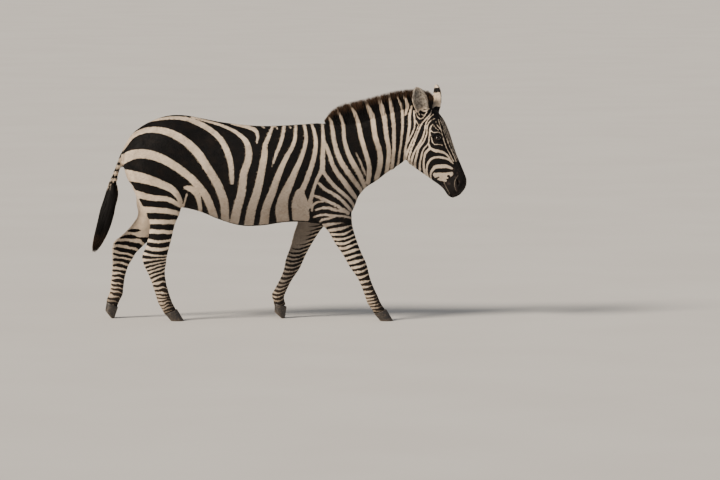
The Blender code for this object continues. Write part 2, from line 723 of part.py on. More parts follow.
def sheet(name, ends):
    """A thin cut straight across the animal along a line between two x, z places."""
    (x0, z0), (x1, z1) = ends
    along = Vector((x1 - x0, 0.0, z1 - z0))
    middle = ((x0 + x1) / 2, 0.0, (z0 + z1) / 2)
    return slab(name, middle, (along.z, 0.0, -along.x), (2 * SHEET_HALF_WIDTH, along.length))


def ball(name, centre, radius, facets=EYE_FACETS):
    """A sphere about a centre."""
    segments, rings = facets
    bpy.ops.mesh.primitive_uv_sphere_add(segments=segments, ring_count=rings, radius=radius)
    made = bpy.context.object
    mesh = made.data
    mesh.transform(Matrix.Translation(centre))
    bpy.data.objects.remove(made)
    mesh.name = name
    return mesh


def grown(mesh, distance):
    """A copy of the mesh that stands this far outside it."""
    source = new_object("grown", mesh.copy())
    swell = source.modifiers.new("swell", "DISPLACE")
    swell.strength = distance
    swell.mid_level = 0.0
    return evaluated_mesh(source)


def ending_cutters():
    """What ends the flesh: at the coronets, over the tuft, round the eyes and under the mane."""
    for name, leg in LEGS.items():
        slope = Vector((math.sin(CORONET_SLOPE), 0.0, -math.cos(CORONET_SLOPE)))
        down = foot_frame(leg).to_3x3() @ slope
        yield below("end_" + name, leg.joints[-1], down, CORONET_CUT, CORONET_CUT_DEPTH)
    yield below("end_dock", TUFT_PLACE, TUFT_DOWN, DOCK_CUT, DOCK_CUT_DEPTH)
    for side, name in SIDES:
        yield helper("socket_" + name, ball("socket", eye_centre(side), EYE_RADIUS + GAP))
    yield helper("mane_groove", grown(mane_mesh(), 2 * GAP))


def parting_cutters():
    """The thin cuts between the nodes of flesh."""
    for name, ends in SHEETS.items():
        yield sheet("cut_" + name, ends)
    for name, leg in LEGS.items():
        joints = [Vector(place) for place in leg.joints]
        bend = (joints[2] - joints[1]).normalized() + (joints[3] - joints[2]).normalized()
        yield slab("cut_knee_" + name, joints[2], bend, KNEE_CUT)
    for name, ear in EARS.items():
        frame = ear_frame(ear)
        upward = frame.to_3x3() @ Vector((0.0, 0.0, 1.0))
        yield slab("cut_" + name, frame @ Vector(EAR_CUT_PLACE), upward, EAR_CUT)


def eye_centre(side):
    """Where an eye's middle is after the head turns."""
    x, y, z = EYE_PLACE
    return tuple(turned(np.array([x, y * side, z])))


def build():
    """Every named node: the parted flesh, eyes, mane, tuft and hooves."""
    flesh = cut(build_flesh(), list(ending_cutters()))
    parts = loose_parts(cut(flesh, list(parting_cutters())))
    for name, inside in SEEDS.items():
        nearest = min(parts, key=lambda part: np.linalg.norm(centre_of(part) - np.array(inside)))
        parts.remove(nearest)
        new_node(name, nearest, "coat")
    for side, name in SIDES:
        new_node("eye_" + name, ball("eye", eye_centre(side), EYE_RADIUS), "eye")
    new_node("mane", mane_mesh(), "hair")
    new_node("tail_tuft", loft_mesh("tail_tuft", loft_points(TUFT, HAIR_POINTS, HAIR_STEP)), "hair")
    for name, leg in LEGS.items():
        new_node("hoof_" + name, hoof_mesh(leg), "hoof")


def main():
    """Clears the scene, makes the two collections and builds the animal."""
    for old in list(bpy.data.objects):
        bpy.data.objects.remove(old)
    for name in ("zebra", "cutters"):
        bpy.context.scene.collection.children.link(bpy.data.collections.new(name))
    build()


main()
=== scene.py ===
"""Looks of a walking plains zebra at life size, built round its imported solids.

Units are metres in the record's frame: the animal looks along +X, +Y is its left side, +Z is
up, and it stands on the floor at zero. Shapes are worked out in the animal's own coordinates,
which differ from the record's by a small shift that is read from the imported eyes.
"""

import json
import logging
import math
from dataclasses import dataclass, field
from enum import Enum

import bmesh
import bpy
import numpy as np
from mathutils import Matrix, Vector

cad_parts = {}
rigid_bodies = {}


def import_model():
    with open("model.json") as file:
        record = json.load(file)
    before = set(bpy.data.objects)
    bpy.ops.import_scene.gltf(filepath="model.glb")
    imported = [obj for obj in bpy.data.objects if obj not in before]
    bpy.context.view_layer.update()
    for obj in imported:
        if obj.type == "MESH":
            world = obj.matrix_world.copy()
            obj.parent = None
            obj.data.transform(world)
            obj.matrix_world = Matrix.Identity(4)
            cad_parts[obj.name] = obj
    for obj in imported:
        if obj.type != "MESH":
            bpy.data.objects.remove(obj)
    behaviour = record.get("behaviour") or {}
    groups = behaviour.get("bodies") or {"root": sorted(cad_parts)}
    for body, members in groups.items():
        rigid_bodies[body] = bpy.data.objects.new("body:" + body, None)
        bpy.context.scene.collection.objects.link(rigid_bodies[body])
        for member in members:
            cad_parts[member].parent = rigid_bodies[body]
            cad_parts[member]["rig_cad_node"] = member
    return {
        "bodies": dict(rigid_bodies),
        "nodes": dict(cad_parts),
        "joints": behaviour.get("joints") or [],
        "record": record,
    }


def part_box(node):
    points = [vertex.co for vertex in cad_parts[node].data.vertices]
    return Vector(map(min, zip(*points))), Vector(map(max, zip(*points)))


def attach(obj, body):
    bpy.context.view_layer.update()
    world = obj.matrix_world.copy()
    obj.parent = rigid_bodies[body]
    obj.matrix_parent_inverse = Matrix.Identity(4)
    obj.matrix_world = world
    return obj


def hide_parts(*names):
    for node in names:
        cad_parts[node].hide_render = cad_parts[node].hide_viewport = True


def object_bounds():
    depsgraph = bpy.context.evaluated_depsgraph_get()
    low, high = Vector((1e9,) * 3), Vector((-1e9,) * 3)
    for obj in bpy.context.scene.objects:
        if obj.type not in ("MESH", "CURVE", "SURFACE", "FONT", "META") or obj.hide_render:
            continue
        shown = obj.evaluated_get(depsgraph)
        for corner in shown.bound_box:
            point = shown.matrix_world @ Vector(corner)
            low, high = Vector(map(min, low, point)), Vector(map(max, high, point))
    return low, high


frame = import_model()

for stray in [o for o in bpy.data.objects if o.type != "EMPTY" and "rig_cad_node" not in o]:
    bpy.data.objects.remove(stray)
CAD_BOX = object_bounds()

Array = np.ndarray
Pair = tuple[float, float]
Triple = tuple[float, float, float]
Colour = Triple
Socket = bpy.types.NodeSocket
LOG = logging.getLogger("zebra")

HEAD_TURN = math.radians(-19.0)  # the head looks a little to the animal's right
HEAD_PIVOT = np.array([0.86, 0.0, 0.0])  # the upright line that it turns about
EYE_PLACE = np.array([1.050, 0.0735, 1.168])  # the left eye before the head turns
EYE_RADIUS = 0.0215
VIEW_RISE = math.radians(4.5)  # the side markings are laid out as seen from this height
THROAT, THROAT_SLANT = (0.845, 1.388), 0.128  # a place on the head's rear line, and its slant
FACE_FROM = 0.95  # the eyes, nostrils and mouth all lie ahead of this
CHIN_HEIGHTS = (0.70, 0.76)  # the head's share of the skin comes in between these
FACE_FRONT_WAY = (0.90, 0.0, 0.44)  # the way the front of the face looks before the head turns
SHOULDER, SHOULDER_WAY = (0.240, 1.310), (0.62, 0.322)  # a place on the neck's, and the way ahead
SIDES = ((1, "left"), (-1, "right"))


# ---------------------------------------------------------------- small mathematics
def smooth(value: Array, low: float, high: float) -> Array:
    """Zero below low, one above high, and an S-shaped cubic between them."""
    t = np.clip((value - low) / (high - low), 0.0, 1.0)
    return t * t * (3.0 - 2.0 * t)


def unit(vectors: Array) -> Array:
    """The vectors at length one."""
    return vectors / np.maximum(np.linalg.norm(vectors, axis=-1, keepdims=True), 1e-12)


def drawn(random: np.random.Generator, count: int, span: Pair) -> Array:
    """This many random numbers, spread evenly over a span."""
    return span[0] + (span[1] - span[0]) * random.random(count)


def bell(value: Array, width: float) -> Array:
    """One at zero, falling by a bell curve to 1/e at this width."""
    return np.exp(-((value / width) ** 2))


def eased(rows: Array, knots: Array, places: Array) -> Array:
    """Values between the rows of a table, by cubic Hermite curves through them.

    Args:
        rows: one row of values at each knot.
        knots: where the rows are, rising.
        places: where values are wanted.

    Returns:
        One row for each place.
    """
    rows = np.asarray(rows, float)
    slopes = np.gradient(rows, knots, axis=0)
    cell = np.clip(np.searchsorted(knots, places, side="right") - 1, 0, len(knots) - 2)
    width = (knots[cell + 1] - knots[cell])[:, None]
    t = (places - knots[cell])[:, None] / width
    start, end = rows[cell], rows[cell + 1]
    return (
        start * (1 + 2 * t) * (1 - t) ** 2
        + end * t * t * (3 - 2 * t)
        + slopes[cell] * width * t * (1 - t) ** 2
        - slopes[cell + 1] * width * t * t * (1 - t)
    )


def path_points(rows: Array, step: float) -> Array:
    """A smooth path through rows of x, z and more columns, in steps of this length.

    Args:
        rows: x, z and further columns, in order along the path.
        step: the greatest distance between rows.

    Returns:
        The path's rows, evenly spaced.
    """
    rows = np.asarray(rows, float)
    strides = np.linalg.norm(np.diff(rows[:, :2], axis=0), axis=1)
    knots = np.concatenate([[0.0], np.cumsum(np.maximum(strides, 1e-6))])
    count = max(2, int(math.ceil(knots[-1] / step)))
    return eased(rows, knots, np.linspace(0.0, knots[-1], count + 1))


def turned(points: Array, share: float | Array = 1.0, back: bool = False) -> Array:
    """Points after the head's turn about the upright line through its pivot.

    Args:
        points: places, xyz in the last axis.
        share: how much of the turn each takes.
        back: whether the turn is undone.

    Returns:
        The places turned, in the same shape.
    """
    angle = HEAD_TURN * np.asarray(share) * (-1.0 if back else 1.0)
    cos, sin = np.cos(angle), np.sin(angle)
    x, y = points[..., 0] - HEAD_PIVOT[0], points[..., 1]
    return np.stack([HEAD_PIVOT[0] + x * cos - y * sin, x * sin + y * cos, points[..., 2]], axis=-1)


def turned_ways(ways: Array, back: bool = False) -> Array:
    """Directions after the head's turn, or before it where the turn is undone."""
    return turned(ways + HEAD_PIVOT, back=back) - HEAD_PIVOT


def pitched(points: Array, degrees: float) -> Array:
    """Points turned nose down in the side view, about the line from side to side.

    Args:
        points: places, xyz in the last axis.
        degrees: how far.

    Returns:
        The places turned.
    """
    cos, sin = math.cos(math.radians(degrees)), math.sin(math.radians(degrees))
    x, y, z = points[..., 0], points[..., 1], points[..., 2]
    return np.stack([x * cos + z * sin, y, z * cos - x * sin], axis=-1)


def past_throat(x: Array, z: Array) -> Array:
    """How far places are ahead of the slanting line where the head's coat meets the neck's."""
    return (x - THROAT[0]) - (z - THROAT[1]) * THROAT_SLANT


def past_shoulder(x: Array, z: Array) -> Array:
    """How far places are past the slanting line where the neck's coat meets the trunk's."""
    return (x - SHOULDER[0]) * SHOULDER_WAY[0] + (z - SHOULDER[1]) * SHOULDER_WAY[1]


def between_rows(rows: Array, spots: Array) -> Array:
    """The first five columns of a loft's rows, read at places that are counted in rows."""
    return np.stack([np.interp(spots, np.arange(len(rows)), rows[:, k]) for k in range(5)], -1)


def on_side(place: Triple | Array, side: int) -> Array:
    """A place given on the left side, or its twin on the right for side -1."""
    return np.array(place) * np.array([1, side, 1])


def lattice_noise(points: Array, scale: float, seed: int) -> Array:
    """Smooth noise from -1 to 1: random values on a cubic lattice, blended by smoothstep.

    Args:
        points: places, xyz in the last axis.
        scale: the lattice's spacing in metres.
        seed: which lattice.

    Returns:
        One number for each place.
    """
    cells = points / scale
    base = np.floor(cells).astype(np.int64)
    t = cells - base
    t = t * t * (3 - 2 * t)
    total = np.zeros(points.shape[:-1])
    for corner in np.ndindex(2, 2, 2):
        key = (base + np.array(corner)) @ np.array([73856093, 19349663, 83492791])
        key = (key ^ (seed * 2654435761)) & 0xFFFFFFFF
        key = (key * 1103515245 + 12345) & 0xFFFFFFFF
        key = ((key >> 13) ^ key) * 1274126177 & 0xFFFFFFFF
        value = (key >> 8) / float(1 << 24) * 2 - 1
        weight = np.ones(points.shape[:-1])
        for axis in range(3):
            weight = weight * (t[..., axis] if corner[axis] else 1 - t[..., axis])
        total += value * weight
    return total


# ---------------------------------------------------------------- meshes
@dataclass
class Surface:
    """A mesh as arrays, in the animal's own coordinates."""

    points: Array
    faces: list[Array]  # each an array of one face per row: quads, triangles or both
    fields: dict[str, Array] = field(default_factory=dict)  # a number or vector per point
    patches: Array | None = None  # a place on the skin's unwrap for each point

    def mesh(self, name: str, shift: Array | None = None) -> bpy.types.Mesh:
        """The surface as a Blender mesh, with its fields as attributes.

        Args:
            name: what the mesh is called.
            shift: how far it is moved, from the animal's coordinates to the record's.

        Returns:
            A smooth-shaded mesh, with its unwrap where it has one.
        """
        points = self.points if shift is None else self.points + shift
        mesh = bpy.data.meshes.new(name)
        corners = np.concatenate([rows.ravel() for rows in self.faces]).astype(np.int32)
        sizes = np.concatenate([np.full(len(rows), rows.shape[1]) for rows in self.faces])
        starts = np.concatenate([[0], np.cumsum(sizes)[:-1]]).astype(np.int32)
        mesh.vertices.add(len(points))
        mesh.vertices.foreach_set("co", points.astype(np.float32).ravel())
        mesh.loops.add(len(corners))
        mesh.loops.foreach_set("vertex_index", corners)
        mesh.polygons.add(len(sizes))
        mesh.polygons.foreach_set("loop_start", starts)
        mesh.update(calc_edges=True)
        mesh.validate()
        write_fields(mesh, self.fields)
        if self.patches is not None:
            layer = mesh.uv_layers.new(name="OFBake")
            layer.data.foreach_set("uv", self.patches[corners].astype(np.float32).ravel())
        mesh.shade_smooth()
        return mesh


def joined(surfaces: list[Surface]) -> Surface:
    """Several surfaces as one, still as separate shells. All have the same fields.

    Args:
        surfaces: one or more surfaces.

    Returns:
        One surface that holds them all.
    """
    starts = np.cumsum([0] + [len(s.points) for s in surfaces[:-1]])
    faces = [rows + start for s, start in zip(surfaces, starts) for rows in s.faces]
    labels = surfaces[0].fields.keys()
    return Surface(
        np.concatenate([s.points for s in surfaces]),
        faces,
        {label: np.concatenate([s.fields[label] for s in surfaces]) for label in labels},
        None if surfaces[0].patches is None else np.concatenate([s.patches for s in surfaces]),
    )


def tube(points: Array) -> Surface:
    """A closed surface from [ring, point, xyz]: quads between the rings and a fan at each end.

    Args:
        points: rings of places, the first and last of which are closed.

    Returns:
        The surface, facing outwards.
    """
    rings, around = points.shape[:2]
    index = np.arange(rings * around).reshape(rings, around)
    ahead = np.roll(index, -1, axis=1)
    quads = np.stack([index[:-1], ahead[:-1], ahead[1:], index[1:]], axis=2).reshape(-1, 4)
    low, high = rings * around, rings * around + 1
    fans = [
        np.stack([ahead[0], index[0], np.full(around, low)], axis=1),
        np.stack([index[-1], ahead[-1], np.full(around, high)], axis=1),
    ]
    places = np.concatenate([points.reshape(-1, 3), points[0].mean(0)[None], points[-1].mean(0)[None]])
    made = Surface(places, [quads, *fans])
    corners = places[quads]
    volume = np.einsum(
        "ij,ij->", np.cross(corners[:, 1] - corners[:, 0], corners[:, 2] - corners[:, 0]),
        corners[:, 0] - places.mean(0),
    )
    if volume < 0:
        made.faces = [rows[:, ::-1] for rows in made.faces]
    return made


def carried_out(source: bpy.types.Object) -> bpy.types.Mesh:
    """The object's mesh with its modifiers carried out, and the object removed.

    Args:
        source: an object that nothing else needs.

    Returns:
        Its finished mesh.
    """
    bpy.context.view_layer.update()
    graph = bpy.context.evaluated_depsgraph_get()
    mesh = bpy.data.meshes.new_from_object(source.evaluated_get(graph), depsgraph=graph)
    bpy.data.objects.remove(source)
    return mesh


def placed(name: str, mesh: bpy.types.Mesh) -> bpy.types.Object:
    """A new object of this mesh in the scene."""
    made = bpy.data.objects.new(name, mesh)
    bpy.context.scene.collection.objects.link(made)
    return made


def mesh_points(mesh: bpy.types.Mesh) -> Array:
    """The mesh's vertices as an array."""
    points = np.empty(len(mesh.vertices) * 3, np.float32)
    mesh.vertices.foreach_get("co", points)
    return points.reshape(-1, 3).astype(float)


def mesh_normals(mesh: bpy.types.Mesh) -> Array:
    """The mesh's vertex normals as an array."""
    normals = np.empty(len(mesh.vertices) * 3, np.float32)
    mesh.vertex_normals.foreach_get("vector", normals)
    return normals.reshape(-1, 3).astype(float)


def move_points(mesh: bpy.types.Mesh, points: Array) -> None:
    """Puts the mesh's vertices at these places."""
    mesh.vertices.foreach_set("co", points.astype(np.float32).ravel())
    mesh.update()


def write_fields(mesh: bpy.types.Mesh, fields: dict[str, Array]) -> None:
    """Gives the mesh's points these numbers and vectors as attributes."""
    for label, values in fields.items():
        kind, key = ("FLOAT", "value") if values.ndim == 1 else ("FLOAT_VECTOR", "vector")
        made = mesh.attributes.new(label, kind, "POINT")
        made.data.foreach_set(key, values.astype(np.float32).ravel())


# ---------------------------------------------------------------- the body's form
@dataclass(frozen=True)
class Ring:
    """One cross-section, by its two ends in the animal's upright plane."""

    top: Pair  # x, z of the upper or front end
    bottom: Pair  # x, z of the lower or rear end
    half: float  # half its breadth
    widest: float = 0.5  # where it is broadest, from bottom 0 to top 1
    peak: float = 2.0  # roundness above the broadest line, 2 being an ellipse
    keel: float = 2.0  # roundness below it
    y: float = 0.0  # how far its middle is from the animal's middle


@dataclass(frozen=True)
class Loft:
    """A tapering solid through rings, each a pair of half super-ellipses."""

    rings: tuple[Ring, ...]

    def rows(self, step: float) -> Array:
        """The rings eased into steps: top x z, bottom x z, half, y, widest, peak, keel.

        Args:
            step: the greatest distance between rows.

        Returns:
            One row of nine numbers to each cross-section.
        """
        table = np.array(
            [[*r.top, *r.bottom, r.half, r.y, r.widest, r.peak, r.keel] for r in self.rings]
        )
        middles = (table[:, 0:2] + table[:, 2:4]) / 2
        strides = np.linalg.norm(np.diff(middles, axis=0), axis=1)
        knots = np.concatenate([[0.0], np.cumsum(np.maximum(strides, 0.012))])
        count = max(2, int(math.ceil(knots[-1] / step)))
        return eased(table, knots, np.linspace(0.0, knots[-1], count + 1))

    def points(self, around: int = 56, step: float = 0.010) -> Array:
        """Places on the loft as [ring, point, xyz].

        Round each ring the rise is cos(a) and the side sin(a), each raised to two over the
        ring's roundness; the rise runs from the bottom end to the top one past the broadest
        line, and the side is scaled by half the breadth.

        Args:
            around: how many places there are on a ring.
            step: the greatest distance between rows.

        Returns:
            The rings of places.
        """
        rows = self.rows(step)
        top, bottom = rows[:, None, 0:2], rows[:, None, 2:4]
        half, y, widest, peak, keel = (rows[:, None, k] for k in range(4, 9))
        angle = np.linspace(0.0, 2 * math.pi, around, endpoint=False)[None, :]
        power = 2.0 / np.where(np.cos(angle) > 0, peak, keel)
        rise = np.sign(np.cos(angle)) * np.abs(np.cos(angle)) ** power
        side = np.sign(np.sin(angle)) * np.abs(np.sin(angle)) ** power
        share = np.where(rise > 0, widest + rise * (1 - widest), widest * (1 + rise))
        flat = bottom + (top - bottom) * share[:, :, None]
        return np.stack([flat[:, :, 0], y + side * half, flat[:, :, 1]], axis=2)


TRUNK = Loft((
    Ring((-0.992, 1.085), (-0.990, 0.985), 0.050),
    Ring((-0.978, 1.125), (-0.960, 0.905), 0.098),
    Ring((-0.945, 1.180), (-0.920, 0.835), 0.140),
    Ring((-0.880, 1.237), (-0.855, 0.775), 0.178, 0.52),
    Ring((-0.790, 1.284), (-0.785, 0.745), 0.198, 0.54),
    Ring((-0.690, 1.312), (-0.690, 0.725), 0.208, 0.55, 1.9),
    Ring((-0.600, 1.313), (-0.600, 0.715), 0.211, 0.52, 1.8),
    Ring((-0.500, 1.296), (-0.500, 0.690), 0.214, 0.48, 1.75),
    Ring((-0.380, 1.272), (-0.380, 0.641), 0.223, 0.46, 1.8),
    Ring((-0.240, 1.253), (-0.240, 0.601), 0.231, 0.45, 1.85),
    Ring((-0.100, 1.244), (-0.100, 0.602), 0.230, 0.45, 1.85),
    Ring((0.040, 1.248), (0.040, 0.622), 0.216, 0.46, 1.8),
    Ring((0.160, 1.256), (0.160, 0.624), 0.198, 0.47, 1.7),
    Ring((0.270, 1.262), (0.260, 0.612), 0.182, 0.48, 1.6, 1.9),
    Ring((0.370, 1.240), (0.350, 0.610), 0.163, 0.46, 1.7, 1.9),
    Ring((0.440, 1.150), (0.430, 0.640), 0.142, 0.45),
    Ring((0.490, 1.060), (0.478, 0.700), 0.108, 0.45),
    Ring((0.514, 0.960), (0.505, 0.765), 0.066, 0.50),
))
NECK = Loft((
    Ring((0.200, 1.215), (0.380, 0.740), 0.150, 0.42, 1.7),
    Ring((0.300, 1.255), (0.500, 0.780), 0.158, 0.40, 1.6),
    Ring((0.400, 1.262), (0.560, 0.845), 0.140, 0.40, 1.6),
    Ring((0.500, 1.277), (0.628, 0.888), 0.115, 0.42, 1.7),
    Ring((0.600, 1.303), (0.690, 0.936), 0.098, 0.45, 1.8),
    Ring((0.700, 1.336), (0.748, 0.975), 0.087, 0.48, 1.8),
    Ring((0.790, 1.358), (0.800, 1.010), 0.081, 0.50, 1.9),
    Ring((0.855, 1.366), (0.860, 1.070), 0.074, 0.52, 1.9),
))
HEAD = Loft((
    Ring((0.862, 1.335), (0.840, 1.200), 0.050),
    Ring((0.915, 1.366), (0.822, 1.075), 0.074, 0.60, 2.2),
    Ring((0.980, 1.362), (0.824, 1.012), 0.086, 0.62, 2.4, 1.9),
    Ring((1.050, 1.302), (0.862, 0.980), 0.092, 0.66, 2.5, 1.8),
    Ring((1.092, 1.220), (0.908, 0.949), 0.093, 0.68, 2.5, 1.8),
    Ring((1.120, 1.146), (0.952, 0.922), 0.082, 0.64, 2.3, 1.8),
    Ring((1.147, 1.078), (0.996, 0.892), 0.068, 0.58, 2.1, 1.9),
    Ring((1.175, 1.016), (1.037, 0.866), 0.058, 0.52),
    Ring((1.202, 0.954), (1.066, 0.841), 0.056),
    Ring((1.219, 0.900), (1.086, 0.814), 0.058, 0.50, 2.2),
    Ring((1.206, 0.846), (1.104, 0.794), 0.053, 0.50, 2.2),
    Ring((1.174, 0.806), (1.126, 0.786), 0.034),
))
DOCK = Loft((
    Ring((-0.930, 1.120), (-0.930, 1.080), 0.018),
    Ring((-0.982, 1.116), (-0.965, 1.076), 0.021),
    Ring((-1.012, 1.060), (-0.982, 1.044), 0.020),
    Ring((-1.038, 0.995), (-1.003, 0.985), 0.018),
    Ring((-1.062, 0.935), (-1.021, 0.925), 0.019),
    Ring((-1.092, 0.850), (-1.036, 0.840), 0.018),
    Ring((-1.078, 0.800), (-1.052, 0.796), 0.008),
))
TUFT = Loft((
    Ring((-1.080, 0.885), (-1.034, 0.873), 0.018),
    Ring((-1.104, 0.800), (-1.024, 0.800), 0.030),
    Ring((-1.136, 0.700), (-1.042, 0.700), 0.037),
    Ring((-1.163, 0.600), (-1.076, 0.600), 0.038),
    Ring((-1.186, 0.520), (-1.112, 0.520), 0.031),
    Ring((-1.197, 0.462), (-1.146, 0.462), 0.021),
    Ring((-1.194, 0.428), (-1.172, 0.428), 0.009),
))
MANE_HALF_WIDTH = 0.021
MANE = Loft((
    Ring((0.290, 1.285), (0.290, 1.230), 0.010),
    Ring((0.322, 1.322), (0.350, 1.230), MANE_HALF_WIDTH),
    Ring((0.390, 1.371), (0.430, 1.235), MANE_HALF_WIDTH),
    Ring((0.472, 1.394), (0.510, 1.250), MANE_HALF_WIDTH),
    Ring((0.566, 1.417), (0.600, 1.275), MANE_HALF_WIDTH),
    Ring((0.660, 1.442), (0.685, 1.305), MANE_HALF_WIDTH),
    Ring((0.760, 1.467), (0.770, 1.325), MANE_HALF_WIDTH),
    Ring((0.850, 1.475), (0.850, 1.335), MANE_HALF_WIDTH),
    Ring((0.920, 1.472), (0.905, 1.335), MANE_HALF_WIDTH),
    Ring((0.968, 1.462), (0.955, 1.332), 0.020),
    Ring((0.998, 1.438), (0.985, 1.338), 0.014),
))


@dataclass(frozen=True)
class Slice:
    """One cross-section of a leg, from the bone that it is round."""

    bone: int  # which bone, counted from the top
    share: float  # how far down that bone
    front: float  # from the bone's line to the leg's front edge
    back: float  # and to its rear edge
    half: float  # half its breadth


FORE_SLICES = (
    Slice(0, 0.00, 0.100, 0.110, 0.058), Slice(0, 0.50, 0.118, 0.122, 0.066),
    Slice(1, 0.00, 0.124, 0.102, 0.062), Slice(1, 0.22, 0.094, 0.074, 0.054),
    Slice(1, 0.45, 0.075, 0.070, 0.046), Slice(1, 0.70, 0.060, 0.060, 0.039),
    Slice(1, 0.88, 0.054, 0.059, 0.037), Slice(2, 0.00, 0.052, 0.058, 0.040),
    Slice(2, 0.14, 0.050, 0.050, 0.035), Slice(2, 0.32, 0.041, 0.043, 0.028),
    Slice(2, 0.60, 0.034, 0.043, 0.026), Slice(2, 0.84, 0.034, 0.047, 0.029),
    Slice(3, 0.00, 0.035, 0.050, 0.034), Slice(3, 0.50, 0.031, 0.042, 0.031),
    Slice(3, 1.00, 0.036, 0.042, 0.036), Slice(3, 1.22, 0.033, 0.036, 0.033),
)
HIND_SLICES = (
    Slice(0, 0.00, 0.130, 0.150, 0.066), Slice(0, 0.50, 0.140, 0.186, 0.078),
    Slice(1, 0.00, 0.106, 0.182, 0.074), Slice(1, 0.18, 0.106, 0.145, 0.065),
    Slice(1, 0.38, 0.092, 0.082, 0.055), Slice(1, 0.60, 0.092, 0.064, 0.045),
    Slice(1, 0.82, 0.091, 0.064, 0.038), Slice(2, 0.00, 0.092, 0.072, 0.042),
    Slice(2, 0.14, 0.078, 0.073, 0.038), Slice(2, 0.32, 0.057, 0.062, 0.030),
    Slice(2, 0.60, 0.041, 0.054, 0.027), Slice(2, 0.84, 0.039, 0.052, 0.030),
    Slice(3, 0.00, 0.040, 0.050, 0.035), Slice(3, 0.50, 0.036, 0.048, 0.032),
    Slice(3, 1.00, 0.037, 0.045, 0.037), Slice(3, 1.22, 0.034, 0.038, 0.034),
)


@dataclass(frozen=True)
class Leg:
    """A leg: its cross-sections, its joints from inside the trunk to the coronet, and its foot."""

    name: str
    slices: tuple[Slice, ...]
    joints: tuple[Triple, ...]
    tip: float  # degrees the hoof is tipped onto its toe

    @property
    def side(self) -> int:
        """One for a left leg and minus one for a right one."""
        return 1 if self.name.endswith("left") else -1

    def loft(self) -> Loft:
        """Rings square to the leg's bones, which turn smoothly at each joint.

        Returns:
            The leg's flesh from inside the trunk to inside the hoof.
        """
        joints = np.array(self.joints)
        bones = np.diff(joints, axis=0)
        along = unit(bones)
        rings = []
        for cut in self.slices:
            place = joints[cut.bone] + bones[cut.bone] * cut.share
            before = along[max(cut.bone - 1, 0)]
            after = along[min(cut.bone + 1, len(bones) - 1)]
            near_top = max(0.0, 0.5 - cut.share)
            near_end = max(0.0, min(cut.share, 1.0) - 0.5)
            heading = unit(
                along[cut.bone] * (1 - near_top - near_end) + before * near_top + after * near_end
            )
            ahead = np.array([-heading[2], heading[0]])
            middle = np.array([place[0], place[2]])
            rings.append(Ring(
                tuple(middle + ahead * cut.front), tuple(middle - ahead * cut.back), cut.half,
                cut.back / (cut.front + cut.back), 2.1, 2.0, place[1],
            ))
        return Loft(tuple(rings))


LEGS = (
    Leg("fore_right", FORE_SLICES,
        ((0.370, -0.098, 0.900), (0.350, -0.108, 0.665), (0.512, -0.098, 0.360),
         (0.612, -0.094, 0.130), (0.650, -0.094, 0.059)), 0.0),
    Leg("fore_left", FORE_SLICES,
        ((0.330, 0.098, 0.900), (0.215, 0.108, 0.675), (0.095, 0.098, 0.352),
         (0.000, 0.094, 0.142), (0.010, 0.094, 0.086)), 40.0),
    Leg("hind_right", HIND_SLICES,
        ((-0.770, -0.108, 1.000), (-0.712, -0.112, 0.770), (-0.800, -0.100, 0.405),
         (-0.722, -0.096, 0.130), (-0.686, -0.096, 0.059)), 0.0),
    Leg("hind_left", HIND_SLICES,
        ((-0.770, 0.108, 1.000), (-0.745, 0.112, 0.720), (-1.000, 0.100, 0.455),
         (-1.040, 0.096, 0.160), (-1.0705, 0.096, 0.089)), 50.0),
)


MUSCLE_FACETS = (24, 36)  # rings, and points round each


@dataclass(frozen=True)
class Muscle:
    """A swelling under the skin: an ellipsoid on the left, with its twin on the right."""

    centre: Triple
    radii: Triple
    lean: float = 0.0  # degrees it is turned in the side view, nose down
    on_head: bool = False

    def points(self, side: int) -> Array:
        """An ellipsoid's rings as [ring, point, xyz], on the left for side 1 and right for -1.

        Args:
            side: 1 for the animal's left and -1 for its right.

        Returns:
            The rings of places.
        """
        rings, around = MUSCLE_FACETS
        up = np.linspace(0.02, math.pi - 0.02, rings)[:, None]
        angle = np.linspace(0.0, 2 * math.pi, around, endpoint=False)[None, :]
        ball = np.stack([np.sin(up) * np.cos(angle), np.sin(up) * np.sin(angle),
                         np.cos(up) + 0 * angle], axis=2) * np.array(self.radii)
        x, y, z = self.centre
        ball = pitched(ball, self.lean) + np.array([x, y * side, z])
        return turned(ball) if self.on_head else ball


MUSCLES = (
    Muscle((0.305, 0.112, 1.010), (0.070, 0.042, 0.160), -16),  # shoulder blade
    Muscle((0.270, 0.120, 0.800), (0.120, 0.052, 0.085), 24),  # upper arm
    Muscle((0.440, 0.068, 0.820), (0.072, 0.060, 0.085)),  # breast
    Muscle((-0.600, 0.142, 1.165), (0.070, 0.038, 0.050), 10),  # point of the hip
    Muscle((-0.800, 0.118, 0.935), (0.135, 0.080, 0.190), -8),  # thigh
    Muscle((-0.665, 0.135, 0.795), (0.062, 0.052, 0.080)),  # stifle
    Muscle((-0.915, 0.085, 0.985), (0.070, 0.066, 0.140), -10),  # buttock
    Muscle((0.905, 0.058, 1.100), (0.072, 0.026, 0.100), 24, True),  # jaw
    Muscle((1.040, 0.073, 1.115), (0.066, 0.013, 0.014), 62, True),  # cheek bone
    Muscle((1.046, 0.062, 1.168), (0.042, 0.026, 0.034), 50, True),  # round the eye
    Muscle((1.040, 0.066, 1.196), (0.032, 0.021, 0.013), 42, True),  # brow
    Muscle((1.162, 0.040, 0.900), (0.040, 0.020, 0.022), 66, True),  # nostril
    Muscle((1.140, 0.026, 0.835), (0.036, 0.030, 0.032), 0, True),  # upper lip
)

EAR_LENGTH, EAR_HALF_WIDTH, EAR_THICKNESS, EAR_SUNK = 0.226, 0.049, 0.0105, 0.030
EAR_FACETS = (60, 40)  # along and across
EARS_ABOVE = 1.40  # only the ears reach above this height
